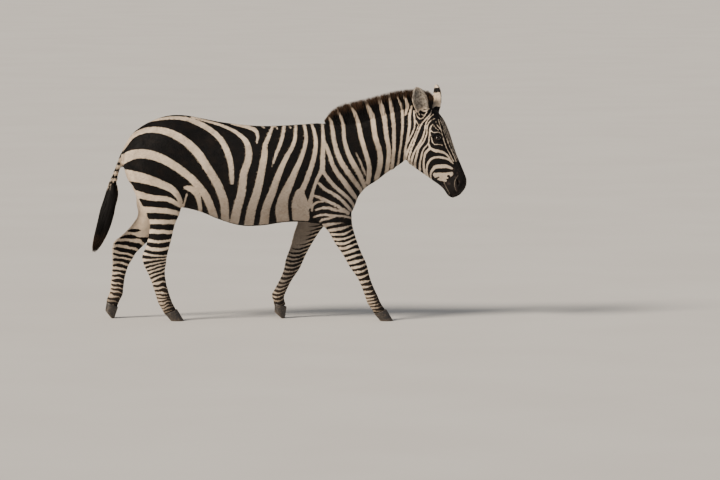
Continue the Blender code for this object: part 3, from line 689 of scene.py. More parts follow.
# Along the ear: its breadth as a share of EAR_HALF_WIDTH, and how far it rolls, in degrees.
EAR_STATIONS = np.array([
    (0.00, 0.46, 150.0), (0.18, 0.52, 138.0), (0.34, 0.76, 104.0), (0.52, 0.98, 80.0),
    (0.68, 1.00, 66.0), (0.82, 0.84, 56.0), (0.93, 0.54, 48.0), (1.00, 0.16, 44.0),
])


@dataclass(frozen=True)
class Ear:
    """An ear: the middle of its root before the head turns, and how it is held, in degrees."""

    name: str
    root: Triple
    forward: float  # its tip leans this far ahead
    outward: float  # and this far to the animal's left
    opening: float  # the way its hollow faces, from the left side round to the front

    def frame(self) -> Array:
        """The ear's own directions and place as a 4 by 4 matrix."""
        root = Vector(turned(np.array(self.root)))
        return np.array(
            Matrix.Translation(root)
            @ Matrix.Rotation(math.radians(self.forward), 4, "Y")
            @ Matrix.Rotation(math.radians(-self.outward), 4, "X")
            @ Matrix.Rotation(math.radians(self.opening), 4, "Z")
        )

    def local(self, points: Array) -> Array:
        """Places in the ear's own coordinates: z runs along it, and its hollow faces y."""
        frame = self.frame()
        return (points - frame[:3, 3]) @ frame[:3, :3]

    @staticmethod
    def holds(local: Array) -> Array:
        """Whether places in its own coordinates are near enough to its axis to be on it."""
        return np.hypot(local[:, 0], local[:, 1] - 0.030) < 0.075

    def leaf(self, along: Array, across: Array, lift: float | Array = 0.0) -> Array:
        """Places on the ear's middle sheet: a leaf rolled about its own length.

        Args:
            along: from its root, 0, to its tip, 1.
            across: from one edge, -1, to the other, 1.
            lift: how far into the hollow from the sheet, in metres.

        Returns:
            The places, in the animal's coordinates.
        """
        shape = eased(EAR_STATIONS[:, 1:], EAR_STATIONS[:, 0], along.ravel())
        breadth, cup = (shape[:, k].reshape(along.shape) for k in (0, 1))
        turn = across * np.radians(cup)
        radius = EAR_HALF_WIDTH * breadth / np.sin(np.radians(np.minimum(cup, 90.0)))
        inner = radius - lift
        local = np.stack([inner * np.sin(turn), radius - inner * np.cos(turn),
                          EAR_LENGTH * along - EAR_SUNK], axis=-1)
        frame = self.frame()
        return local @ frame[:3, :3].T + frame[:3, 3]

    def shell(self) -> Surface:
        """The ear as a closed wall: the leaf's two faces, joined round its edge.

        Returns:
            One closed surface.
        """
        rows, columns = EAR_FACETS
        along = np.repeat(np.linspace(0.0, 1.0, rows)[:, None], columns, 1)
        across = np.repeat(np.linspace(-1.0, 1.0, columns)[None, :], rows, 0)
        inner = self.leaf(along, across, EAR_THICKNESS / 2)
        outer = self.leaf(along, across, -EAR_THICKNESS / 2)
        return tube(np.concatenate([inner, outer[:, ::-1]], axis=1))


EARS = (
    Ear("ear_left", (0.967, 0.052, 1.322), 9.0, 16.0, -72.0),
    Ear("ear_right", (0.942, -0.052, 1.318), -13.0, -16.0, -172.0),
)


@dataclass(frozen=True)
class HeadZoom:
    """Swells the head while the skin is wrapped, so that it gets finer facets than the body.

    A place is moved away from a centre in the neck by a factor that rises from one to `times`
    as the place passes through a slanting band across the throat.
    """

    centre: Triple = (0.70, 0.0, 1.16)
    heading: Triple = (0.94, 0.0, 0.34)
    start: float = -0.04
    end: float = 0.10
    times: float = 2.2
    table: tuple[float, int] = (3.0, 24001)  # how far the shrinking table reaches, and its length

    def factor(self, depth: Array) -> Array:
        """The swelling at this depth through the band."""
        return 1.0 + (self.times - 1.0) * smooth(depth, self.start, self.end)

    def swell(self, points: Array) -> Array:
        """Places in the swollen space."""
        off = points - np.array(self.centre)
        return np.array(self.centre) + off * self.factor(off @ np.array(self.heading))[..., None]

    def shrink(self, points: Array) -> Array:
        """Places back in the animal's own space: the depth is read off a table of swollen ones."""
        off = points - np.array(self.centre)
        far, count = self.table
        depths = np.linspace(-far, far, count)
        depth = np.interp(off @ np.array(self.heading), depths * self.factor(depths), depths)
        return np.array(self.centre) + off / self.factor(depth)[..., None]


@dataclass
class Flesh:
    """The animal's one skin: lofts, muscles and ears wrapped together by a voxel remesh."""

    voxel: float = 0.0107  # facet size on the body; the head's are finer by the zoom's factor
    zoom: HeadZoom = HeadZoom()
    rounds: int = 150  # how far hollow creases fill
    fill: float = 0.5  # how far a point moves each round, along the skin and outward
    draw_in: float = 0.06  # and inward
    body_rate: float = 0.27  # the body fills at this share of the head's rate
    coat_depth: float = 0.0035  # how far the skin lies under the coat's tips on the body
    head_depth: float = 0.0012  # and on the head
    ear_depth: float = 0.0006  # and on the ears
    leg_share: float = 0.55  # how much less it is on the legs, as a share

    def shells(self) -> list[Surface]:
        """Every solid that the skin goes round.

        Returns:
            Closed surfaces that overlap one another.
        """
        lofts = [tube(loft.points()) for loft in (TRUNK, NECK, DOCK)]
        lofts.append(tube(turned(HEAD.points(64, 0.006))))
        lofts += [tube(leg.loft().points(48, 0.008)) for leg in LEGS]
        lofts += [ear.shell() for ear in EARS]
        lofts += [tube(muscle.points(side)) for muscle in MUSCLES for side, _ in SIDES]
        return lofts

    def wrapped(self) -> bpy.types.Mesh:
        """One closed skin round all the shells, still in the swollen space.

        Returns:
            A mesh of even facets.
        """
        whole = joined(self.shells())
        whole.points = self.zoom.swell(whole.points)
        source = placed("shells", whole.mesh("shells"))
        wrap = source.modifiers.new("wrap", "REMESH")
        wrap.mode = "VOXEL"
        wrap.voxel_size = self.voxel
        return carried_out(source)

    def fill_creases(self, mesh: bpy.types.Mesh) -> Array:
        """Fills hollow creases as muscle does, and barely moves what is round.

        Each round moves a point towards its neighbours' mean: half the way along the skin,
        half the way where that is outward, and a small share of it where it is inward.

        Args:
            mesh: the wrapped skin.

        Returns:
            The points, still in the swollen space.
        """
        points = mesh_points(mesh)
        count = len(points)
        ends = np.empty(len(mesh.edges) * 2, np.int32)
        mesh.edges.foreach_get("vertices", ends)
        first, second = ends.reshape(-1, 2).T
        valence = np.bincount(ends, minlength=count)[:, None]
        off = self.zoom.shrink(points) - np.array(self.zoom.centre)
        depth = off @ np.array(self.zoom.heading)
        rate = self.body_rate + (1 - self.body_rate) * smooth(depth, 0.0, self.zoom.end)[:, None]
        for _ in range(self.rounds):
            total = np.stack([
                np.bincount(first, points[second, k], count)
                + np.bincount(second, points[first, k], count) for k in range(3)
            ], axis=1)
            pull = total / valence - points
            move_points(mesh, points)
            normals = mesh_normals(mesh)
            outward = (pull * normals).sum(axis=1)[:, None]
            sideways = pull - outward * normals
            share = np.where(outward > 0, self.fill, self.draw_in)
            step = self.fill * sideways + normals * share * outward
            points = points + rate * step
        return points

    def build(self) -> bpy.types.Mesh:
        """The skin in the animal's own coordinates, drawn in by the coat's depth.

        Returns:
            A mesh that the face's folds are still to be cut into.
        """
        mesh = self.wrapped()
        points = self.zoom.shrink(self.fill_creases(mesh))
        move_points(mesh, points)
        x, _, z = points.T
        on_head = smooth(x, 0.78, 0.90) * smooth(z, 0.70, 0.80)
        depth = self.coat_depth + (self.head_depth - self.coat_depth) * on_head
        depth = depth * (1 - self.leg_share * smooth(-z, -0.62, -0.45))
        depth = np.where(z > EARS_ABOVE, self.ear_depth, depth)
        move_points(mesh, points - mesh_normals(mesh) * depth[:, None])
        return mesh


# ---------------------------------------------------------------- the face's folds and openings
def refined(mesh: bpy.types.Mesh, near: Array) -> bpy.types.Mesh:
    """The mesh with the faces round the marked vertices cut in four.

    Args:
        mesh: the skin's mesh.
        near: which vertices are marked.

    Returns:
        The same mesh, finer there.
    """
    shape = bmesh.new()
    shape.from_mesh(mesh)
    shape.verts.ensure_lookup_table()
    edges = [e for e in shape.edges if near[e.verts[0].index] and near[e.verts[1].index]]
    bmesh.ops.subdivide_edges(shape, edges=edges, cuts=1, use_grid_fill=True)
    shape.to_mesh(mesh)
    shape.free()
    return mesh


def line_distance(points: Array, line: Array) -> Array:
    """How far 2-D points are from a chain of straight stretches.

    Args:
        points: x and z of each place.
        line: the chain's ends and corners.

    Returns:
        One distance for each place.
    """
    best = np.full(len(points), np.inf)
    for start, end in zip(line[:-1], line[1:]):
        stretch = end - start
        t = np.clip(((points - start) @ stretch) / (stretch @ stretch), 0.0, 1.0)
        best = np.minimum(best, np.linalg.norm(points - start - t[:, None] * stretch, axis=1))
    return best


@dataclass(frozen=True)
class Frame3:
    """A place with three square directions: along, up and out."""

    centre: Array
    along: Array
    up: Array
    out: Array

    @staticmethod
    def made(centre: Array, out: Array, along: Array) -> "Frame3":
        """A frame from its place, its way out and roughly the way along."""
        out = unit(np.asarray(out, float))
        along = unit(np.asarray(along, float) - out * (np.asarray(along, float) @ out))
        up = np.cross(out, along)
        return Frame3(np.asarray(centre, float), along, up if up[2] > 0 else -up, out)

    def local(self, points: Array) -> Array:
        """Points in this frame's own coordinates."""
        return (points - self.centre) @ np.stack([self.along, self.up, self.out], axis=1)

    def world(self, local: Array) -> Array:
        """Points back from this frame's own coordinates."""
        return self.centre + local @ np.stack([self.along, self.up, self.out])


@dataclass(frozen=True)
class EyeOpening:
    """The lids' almond round an eyeball."""

    radius: float = EYE_RADIUS
    half_length: float = 0.0205
    upper: float = 0.0118  # the upper lid's arch
    lower: float = 0.0088
    lid: float = 0.0020  # how far the lids stand off the ball
    reach: float = 0.019  # where the lids have run out into the face
    fold: float = 0.0013  # the depth of the fold round the lids
    sunk: float = 0.009  # how far behind the ball's face the skin within the almond lies

    def frame(self, side: int) -> Frame3:
        """The eye's frame before the head turns, looking out, ahead and a little up."""
        return Frame3.made(on_side(EYE_PLACE, side), (0.30, 0.94 * side, 0.14), (0.93, -0.30 * side, -0.34))

    def gap(self, along: Array, up: Array) -> Array:
        """How far a place is outside the almond, less than zero within it."""
        arch = 1.0 - np.abs(along / self.half_length) ** 2.1
        return np.maximum(up - self.upper * arch, -up - self.lower * arch)

    def press(self, points: Array, side: int) -> Array:
        """Lays the skin on the eyeball round the almond and sinks it behind the ball within it.

        The lid's height over the eye's middle is the square root of its radius squared less the
        distance squared; it runs into the face by a cubic, with a fold round it that is fainter
        under the lower lid.

        Args:
            points: places, one to a row.
            side: 1 for the animal's left and -1 for its right.

        Returns:
            The places moved.
        """
        frame = self.frame(side)
        local = frame.local(points)
        along, up, out = local.T
        spread = np.hypot(along, up)
        near = (spread < self.half_length + 2 * self.reach) & (out > -0.012)
        gap = self.gap(along, up)
        ball = np.sqrt(np.maximum((self.radius + self.lid) ** 2 - spread**2, 4e-6))
        lid = ball - 0.25 * np.maximum(spread - self.radius, 0.0)
        share = smooth(gap, 0.003, self.reach)
        height = lid * (1 - share) + out * share
        fold = bell(gap - 0.0068, 0.0016) - 0.8 * bell(gap - 0.0105, 0.0024)
        height = height - self.fold * fold * np.where(up > -0.002, 1.0, 0.55)
        inside = ball - self.sunk
        height = np.where(gap < 0.004, inside + (height - inside) * smooth(gap, -0.0014, 0.0), height)
        local[:, 2] = np.where(near, height, out)
        return frame.world(local)


@dataclass(frozen=True)
class Nostril:
    """A comma-shaped opening on the muzzle's side."""

    centre: Triple = (1.176, 0.047, 0.892)
    half_length: float = 0.021
    half_height: float = 0.0075
    depth: float = 0.016
    rim: float = 0.0022

    def gap(self, points: Array, side: int) -> tuple[Array, Frame3]:
        """How far places are outside the comma, and the frame that it lies in.

        Args:
            points: places, one to a row.
            side: 1 for the animal's left and -1 for its right.

        Returns:
            The distances, and the frame.
        """
        frame = Frame3.made(on_side(self.centre, side), (0.55, 0.80 * side, 0.05), (0.30, 0.0, -0.95))
        along, up, _ = frame.local(points).T
        bent = up + 0.22 * along**2 / self.half_length
        wide = self.half_height * (1.0 + 0.35 * along / self.half_length)
        off = np.sqrt((along / self.half_length) ** 2 + (bent / wide) ** 2)
        return (off - 1.0) * self.half_height, frame

    def press(self, points: Array, normals: Array, side: int) -> Array:
        """Sinks the comma, and raises a rounded rim about it.

        Args:
            points: places, one to a row.
            normals: the way out of the skin at each place.
            side: 1 for the animal's left and -1 for its right.

        Returns:
            The places moved.
        """
        gap, frame = self.gap(points, side)
        near = (np.linalg.norm(points - frame.centre, axis=1) < 0.045) & (
            normals @ frame.out > -0.1)
        rim = bell(gap - 0.0035, 0.003) * self.rim
        sink = self.depth * (1 - smooth(gap, -0.0050, 0.0010))
        return points + (near * rim)[:, None] * normals - (near * sink)[:, None] * frame.out


@dataclass(frozen=True)
class Face:
    """The eyes' lids, the nostrils and the line of the mouth, cut into the skin."""

    eye: EyeOpening = EyeOpening()
    nostril: Nostril = Nostril()
    mouth: tuple[Pair, ...] = (
        (1.076, 0.889), (1.090, 0.868), (1.108, 0.842), (1.127, 0.815), (1.146, 0.782))
    mouth_depth: float = 0.0055
    mouth_width: float = 0.0024
    lips: float = 0.0016  # how far they stand out beside the mouth

    def near(self, points: Array, reach: float) -> Array:
        """Which skin points lie near a lid, a nostril or the mouth.

        Args:
            points: places, one to a row.
            reach: how near.

        Returns:
            True where it is near.
        """
        found = line_distance(points[:, [0, 2]], np.array(self.mouth)) < reach * 0.40
        for side, _ in SIDES:
            for place in (EYE_PLACE, self.nostril.centre):
                found |= np.linalg.norm(points - on_side(place, side), axis=1) < reach
        return found & (points[:, 0] > FACE_FROM)

    def cut(self, mesh: bpy.types.Mesh) -> bpy.types.Mesh:
        """The skin with the face's folds, which are worked out before the head's turn.

        Args:
            mesh: the skin's mesh.

        Returns:
            The same mesh, finer round the folds and with the folds in it.
        """
        for reach in (0.036, 0.026):
            mesh = refined(mesh, self.near(turned(mesh_points(mesh), back=True), reach))
        straight = turned(mesh_points(mesh), back=True)
        normals = turned_ways(mesh_normals(mesh), back=True)
        on_head = straight[:, 0] > FACE_FROM
        moved = straight
        for side, _ in SIDES:
            moved = self.eye.press(moved, side)
            moved = self.nostril.press(moved, normals, side)
        line = np.array(self.mouth)
        off = line_distance(moved[:, [0, 2]], line)
        corner = smooth(np.linalg.norm(moved[:, [0, 2]] - line[0], axis=1), 0.0, 0.012)
        groove = bell(off, self.mouth_width) * self.mouth_depth * (0.4 + 0.6 * corner)
        lips = bell(off - 0.0075, 0.005) * self.lips * corner
        moved = moved + normals * (lips - groove)[:, None]
        points = np.where(on_head[:, None], turned(moved), mesh_points(mesh))
        move_points(mesh, points)
        return mesh


# ---------------------------------------------------------------- the markings
@dataclass(frozen=True)
class Stroke:
    """A white stripe: a smooth line through places, each with its breadth, on the black coat."""

    rows: tuple[tuple[float, ...], ...]  # along, up, breadth

    def line(self, step: float = 0.012) -> Array:
        """The stroke's middle line and half breadths in even steps."""
        path = path_points(np.array(self.rows), step)
        return np.column_stack([path[:, :2], np.maximum(path[:, 2], 0.0) / 2])


def stroke(breadths: float | tuple[float, ...], *places: Pair) -> Stroke:
    """A stroke through places, whose breadth is one number or runs evenly through several.

    Args:
        breadths: one breadth, or several spaced evenly from the first place to the last.
        places: the middle line's points, along and up.

    Returns:
        The stroke.
    """
    wide = np.atleast_1d(breadths)
    share = np.linspace(0, 1, len(places))
    each = np.interp(share, np.linspace(0, 1, len(wide)), wide)
    return Stroke(tuple((*place, float(b)) for place, b in zip(places, each)))


def inked(points: Array, strokes: tuple[Stroke, ...], thin: float = 0.0) -> Array:
    """How far inside the nearest stroke each 2-D place is, in metres; less than zero is outside.

    It is the half breadth at the nearest place on a stroke's line, less `thin` and the distance.

    Args:
        points: places in the side view, along and up.
        strokes: the white stripes.
        thin: how much thinner they are drawn, on each side.

    Returns:
        One number for each place, at least -0.08.
    """
    best = np.full(len(points), -0.08)
    for mark in strokes:
        line = mark.line()
        low, high = line[:, :2].min(0) - 0.08, line[:, :2].max(0) + 0.08
        near = np.nonzero(((points > low) & (points < high)).all(1))[0]
        if not len(near):
            continue
        spots = points[near]
        found = np.full(len(near), -1.0)
        for start, end in zip(line[:-1], line[1:]):
            stretch = end[:2] - start[:2]
            t = np.clip(((spots - start[:2]) @ stretch) / max(stretch @ stretch, 1e-12), 0.0, 1.0)
            half = start[2] + (end[2] - start[2]) * t - thin
            off = spots - start[:2] - t[:, None] * stretch
            found = np.maximum(found, half - np.hypot(off[:, 0], off[:, 1]))
        best[near] = np.maximum(best[near], found)
    return best


BODY_STROKES = (
    # over the croup and down the flank, from the tail forward
    stroke((0.008, 0.010, 0.012, 0.020, 0.030, 0.034, 0.036, 0.022), (-0.985, 1.135), (-0.934, 1.210),
           (-0.870, 1.249), (-0.822, 1.267), (-0.758, 1.279), (-0.680, 1.287), (-0.598, 1.283),
           (-0.518, 1.257), (-0.438, 1.214), (-0.358, 1.141), (-0.310, 1.037), (-0.293, 0.950),
           (-0.290, 0.872)),
    stroke((0.024, 0.032, 0.038, 0.046, 0.052, 0.050, 0.054, 0.050), (-0.994, 1.090), (-0.918, 1.178),
           (-0.838, 1.208), (-0.758, 1.208), (-0.678, 1.187), (-0.598, 1.143), (-0.518, 1.071),
           (-0.438, 0.955), (-0.374, 0.845), (-0.342, 0.749), (-0.338, 0.62)),
    stroke((0.064, 0.058, 0.054, 0.048, 0.046, 0.048, 0.050), (-1.01, 1.015), (-0.918, 1.052),
           (-0.838, 1.055), (-0.758, 1.034), (-0.678, 0.994), (-0.598, 0.940), (-0.518, 0.868),
           (-0.454, 0.781), (-0.422, 0.70), (-0.400, 0.62)),
    stroke((0.074, 0.062, 0.050, 0.040, 0.026, 0.014), (-1.01, 0.930), (-0.854, 0.900),
           (-0.75, 0.867), (-0.66, 0.820), (-0.622, 0.760), (-0.612, 0.715)),
    # the fold of skin between flank and stifle
    stroke((0.018, 0.036, 0.036, 0.030, 0.026, 0.020), (-0.592, 0.842), (-0.565, 0.838),
           (-0.535, 0.822), (-0.513, 0.795), (-0.502, 0.755), (-0.497, 0.715), (-0.494, 0.66)),
    stroke(0.010, (-0.577, 0.805), (-0.590, 0.765), (-0.603, 0.725)),
    stroke((0.046, 0.036, 0.030, 0.020), (-0.96, 0.820), (-0.80, 0.7775), (-0.70, 0.768), (-0.617, 0.723)),
    stroke((0.044, 0.034, 0.028), (-0.90, 0.702), (-0.824, 0.701), (-0.70, 0.692), (-0.61, 0.674)),
    stroke((0.042, 0.034, 0.032), (-0.90, 0.628), (-0.824, 0.624), (-0.72, 0.622), (-0.60, 0.622)),
    stroke((0.04, 0.033, 0.028), (-0.90, 0.572), (-0.818, 0.563), (-0.72, 0.560), (-0.60, 0.560)),
    # the plain back of the thigh
    stroke((0.060, 0.074, 0.076, 0.076, 0.070), (-1.000, 0.890), (-0.960, 0.840), (-0.912, 0.740),
           (-0.872, 0.660), (-0.865, 0.590)),
    # flank and barrel
    stroke((0.012, 0.014, 0.020, 0.036, 0.042, 0.046, 0.054, 0.056), (-0.55, 1.293), (-0.45, 1.266),
           (-0.349, 1.235), (-0.26, 1.19), (-0.20, 1.13), (-0.185, 1.085), (-0.185, 1.03),
           (-0.215, 0.93), (-0.228, 0.82), (-0.26, 0.70), (-0.285, 0.60)),
    stroke((0.012, 0.018, 0.026, 0.02, 0.010), (-0.30, 1.2526), (-0.244, 1.24), (-0.183, 1.226),
           (-0.142, 1.206), (-0.1285, 1.167), (-0.1346, 1.125)),
    stroke(0.010, (-0.160, 1.246), (-0.128, 1.238)), stroke(0.009, (-0.105, 1.240), (-0.085, 1.222)),
    stroke(0.009, (-0.018, 1.242), (-0.006, 1.218)), stroke(0.009, (0.070, 1.246), (0.080, 1.222)),
    stroke((0.015, 0.026, 0.036, 0.046, 0.054, 0.058), (-0.030, 1.245), (-0.058, 1.17), (-0.08, 1.11),
           (-0.084, 1.055), (-0.104, 0.936), (-0.1315, 0.814), (-0.165, 0.7105), (-0.188, 0.60)),
    stroke((0.018, 0.022, 0.018, 0.006), (0.042, 1.25), (0.024, 1.149), (-0.013, 1.0455), (-0.035, 0.975)),
    stroke((0.015, 0.024, 0.032, 0.042, 0.05, 0.058), (0.115, 1.255), (0.103, 1.13), (0.048, 1.021),
           (0.0055, 0.924), (-0.031, 0.82), (-0.0737, 0.7105), (-0.092, 0.60)),
    stroke((0.016, 0.022, 0.028, 0.04, 0.06, 0.08, 0.08), (0.166, 1.255), (0.179, 1.15), (0.1516, 1.039),
           (0.115, 0.954), (0.0725, 0.857), (0.032, 0.759), (0.024, 0.704), (0.03, 0.64)),
    stroke((0.015, 0.024, 0.03, 0.032, 0.04), (0.2125, 1.258), (0.24, 1.149), (0.231, 1.039),
           (0.20, 0.936), (0.164, 0.8445), (0.135, 0.79)),
    stroke((0.05, 0.10, 0.11), (0.140, 0.81), (0.140, 0.74), (0.145, 0.66)),  # behind the elbow
)
SHOULDER_STROKES = (  # the withers, and the fork over the shoulder
    stroke((0.014, 0.024, 0.028, 0.032), (0.2826, 1.255), (0.2887, 1.143), (0.2856, 1.033), (0.283, 0.955)),
    stroke((0.026, 0.022, 0.020, 0.03), (0.283, 0.955), (0.255, 0.905), (0.2217, 0.814), (0.20, 0.723)),
    stroke((0.022, 0.022, 0.020, 0.018), (0.283, 0.955), (0.302, 0.924), (0.369, 0.843), (0.42, 0.800),
           (0.46, 0.760), (0.487, 0.722)),
    stroke((0.018, 0.020, 0.020, 0.014), (0.262, 0.868), (0.292, 0.838), (0.360, 0.798), (0.405, 0.763),
           (0.45, 0.715), (0.475, 0.690)),
    stroke((0.012, 0.018, 0.018, 0.014), (0.215, 0.792), (0.245, 0.786), (0.292, 0.768), (0.33, 0.748),
           (0.37, 0.731), (0.40, 0.713), (0.45, 0.683)),
    stroke((0.012, 0.014, 0.012), (0.216, 0.695), (0.222, 0.728), (0.25, 0.749), (0.30, 0.757)),
    stroke((0.012, 0.018, 0.012), (0.243, 0.700), (0.28, 0.712), (0.315, 0.714), (0.36, 0.702),
           (0.40, 0.694), (0.45, 0.676)),
    stroke((0.012, 0.014, 0.012), (0.230, 0.655), (0.27, 0.668), (0.31, 0.669), (0.36, 0.664),
           (0.42, 0.660), (0.465, 0.650)),
    stroke((0.014, 0.012), (0.255, 0.615), (0.278, 0.636), (0.320, 0.645), (0.355, 0.656)),
)
NECK_STROKES = (
    stroke((0.014, 0.020, 0.026, 0.03, 0.024, 0.012), (0.29, 1.15), (0.315, 1.092), (0.356, 0.971),
           (0.423, 0.877), (0.487, 0.789), (0.51, 0.76)),
    stroke((0.020, 0.022, 0.026, 0.032, 0.03, 0.022), (0.312, 1.315), (0.339, 1.254), (0.359, 1.133),
           (0.3995, 1.0115), (0.4635, 0.917), (0.531, 0.823)),
    stroke((0.026, 0.022, 0.022, 0.028, 0.03, 0.024), (0.365, 1.365), (0.413, 1.254), (0.423, 1.146),
           (0.457, 1.038), (0.517, 0.931), (0.554, 0.85)),
    stroke((0.006, 0.012, 0.010), (0.497, 1.065), (0.531, 0.991), (0.558, 0.924)),
    stroke((0.030, 0.026, 0.026, 0.030, 0.028), (0.440, 1.40), (0.504, 1.281), (0.5275, 1.173),
           (0.558, 1.065), (0.581, 0.971), (0.5746, 0.877)),
    stroke((0.034, 0.030, 0.030, 0.034, 0.030), (0.545, 1.42), (0.6015, 1.2875), (0.618, 1.173),
           (0.6486, 1.065), (0.652, 1.01), (0.628, 0.900)),
    stroke((0.034, 0.030, 0.026, 0.026, 0.024), (0.635, 1.44), (0.679, 1.281), (0.689, 1.1865),
           (0.706, 1.079), (0.692, 0.930)),
    stroke((0.028, 0.024, 0.022, 0.02, 0.02), (0.705, 1.45), (0.733, 1.281), (0.7395, 1.119),
           (0.726, 0.955)),
    stroke((0.018, 0.017, 0.014, 0.012, 0.012), (0.758, 1.43), (0.787, 1.355), (0.794, 1.26),
           (0.786, 1.146), (0.775, 1.06), (0.764, 0.98)),
    stroke((0.020, 0.022, 0.012), (0.797, 1.4356), (0.8236, 1.375), (0.8135, 1.31)),
    stroke((0.010, 0.018, 0.018, 0.014, 0.012), (0.853, 1.365), (0.839, 1.31), (0.838, 1.247),
           (0.829, 1.18), (0.812, 1.0855), (0.803, 1.00)),
)
# The cheek and muzzle, laid out as the right side of the turned head is seen.
CHEEK_STROKES = (
    stroke((0.010, 0.012, 0.010, 0.014, 0.016), (0.865, 1.345), (0.866, 1.31), (0.870, 1.25),
           (0.868, 1.225), (0.845, 1.17), (0.815, 1.11), (0.803, 1.07)),
    stroke(0.007, (0.872, 1.275), (0.885, 1.256), (0.895, 1.243)),
    stroke((0.008, 0.009, 0.012, 0.018, 0.020), (0.897, 1.245), (0.880, 1.20), (0.866, 1.165),
           (0.845, 1.12), (0.828, 1.08), (0.812, 1.03), (0.812, 1.005)),
    stroke((0.007, 0.010, 0.012, 0.014, 0.018), (0.978, 1.335), (0.969, 1.31), (0.945, 1.283),
           (0.912, 1.245), (0.895, 1.205), (0.873, 1.15), (0.847, 1.08), (0.835, 1.04), (0.832, 1.00)),
    stroke((0.007, 0.010, 0.013, 0.015, 0.018), (0.988, 1.308), (0.965, 1.287), (0.943, 1.255),
           (0.932, 1.20), (0.918, 1.155), (0.885, 1.10), (0.862, 1.055), (0.850, 1.01), (0.850, 0.975)),
    stroke((0.006, 0.009, 0.012, 0.016, 0.022), (0.998, 1.281), (0.972, 1.268), (0.952, 1.24),
           (0.946, 1.185), (0.930, 1.14), (0.895, 1.09), (0.880, 1.035), (0.872, 0.995), (0.872, 0.95)),
    stroke((0.005, 0.008, 0.010, 0.013, 0.018), (0.985, 1.246), (0.967, 1.22), (0.962, 1.17),
           (0.957, 1.125), (0.925, 1.085), (0.912, 1.04), (0.903, 0.99), (0.905, 0.94)),
    stroke((0.011, 0.022, 0.012, 0.010), (0.958, 1.12), (0.970, 1.093), (1.00, 1.077), (1.035, 1.071),
           (1.062, 1.060), (1.082, 1.043), (1.098, 1.017), (1.112, 0.995)),
    stroke((0.020, 0.014, 0.017), (0.962, 1.088), (0.940, 1.065), (0.929, 1.02), (0.928, 0.975),
           (0.938, 0.925)),
    stroke((0.010, 0.015, 0.016, 0.013, 0.012), (1.103, 1.003), (1.08, 1.022), (1.035, 1.034),
           (0.99, 1.032), (0.958, 1.005), (0.947, 0.965), (0.950, 0.93), (0.962, 0.90)),
    stroke((0.014, 0.024, 0.028, 0.020, 0.011, 0.010), (1.108, 0.962), (1.08, 0.975), (1.04, 0.978),
           (1.00, 0.972), (0.977, 0.945), (0.972, 0.918), (0.982, 0.885)),
    stroke((0.026, 0.042, 0.050, 0.026), (1.105, 0.930), (1.07, 0.918), (1.025, 0.914), (0.998, 0.925)),
    stroke((0.020, 0.016), (1.038, 0.893), (1.068, 0.886)),
    # round the eye
    stroke((0.006, 0.008, 0.006), (0.971, 1.205), (0.985, 1.195), (1.005, 1.1925), (1.022, 1.194),
           (1.036, 1.186)),
    stroke((0.006, 0.008, 0.007, 0.006), (0.969, 1.205), (0.972, 1.17), (0.979, 1.145), (0.986, 1.124),
           (1.00, 1.116), (1.022, 1.118), (1.045, 1.110)),
    stroke((0.006, 0.009), (0.976, 1.240), (0.971, 1.222), (0.972, 1.20)),
    stroke(0.0070, (0.990, 1.237), (1.003, 1.222), (1.020, 1.207)),
    stroke((0.0060, 0.0070), (1.004, 1.262), (1.013, 1.240), (1.028, 1.220), (1.040, 1.205)),
    # thin lines beside the front of the face
    stroke((0.006, 0.007, 0.008, 0.009), (1.020, 1.275), (1.033, 1.23), (1.045, 1.18), (1.055, 1.143),
           (1.075, 1.09), (1.100, 1.042), (1.117, 1.01)),
    stroke((0.006, 0.007, 0.008), (1.050, 1.215), (1.067, 1.17), (1.089, 1.112), (1.113, 1.058),
           (1.134, 1.008)),
    stroke((0.006, 0.007), (1.078, 1.175), (1.103, 1.107), (1.127, 1.055), (1.147, 1.012)),
    # the ear's foot
    stroke((0.006, 0.009, 0.006), (0.876, 1.335), (0.884, 1.30), (0.902, 1.281), (0.922, 1.286),
           (0.938, 1.305)),
    stroke(0.013, (0.893, 1.328), (0.901, 1.308)),
    stroke(0.008, (0.905, 1.318), (0.917, 1.304), (0.933, 1.306), (0.947, 1.322)),
    stroke(0.012, (0.908, 1.345), (0.923, 1.330), (0.945, 1.332), (0.960, 1.345)),
)
LIP_LINES = (  # paler skin along the lower lip and before the nostril
    stroke((0.004, 0.006, 0.004), (1.058, 0.872), (1.072, 0.842), (1.092, 0.806)),
    stroke((0.004, 0.007, 0.004), (1.145, 0.918), (1.127, 0.890), (1.124, 0.850), (1.136, 0.818)),
)
# Along an ear, from root to tip: how far inside the white its back is, in metres.
EAR_STRIPES = ((0.00, 0.006), (0.33, 0.006), (0.44, 0.012), (0.68, 0.012), (0.72, 0.0),
               (0.76, -0.008), (0.84, -0.008), (0.88, 0.004), (1.20, 0.02))
# Where the dark muzzle starts before the head turns: height and distance ahead.
MUZZLE_EDGE = ((0.79, 1.00), (0.86, 1.05), (0.885, 1.090), (0.92, 1.140), (0.98, 1.148),
               (1.04, 1.166), (1.075, 1.20))
# Black spots in the muzzle's white: along, up and radius.
SPOTS = ((1.086, 0.914, 0.012), (1.010, 0.902, 0.009), (1.022, 0.908, 0.007))


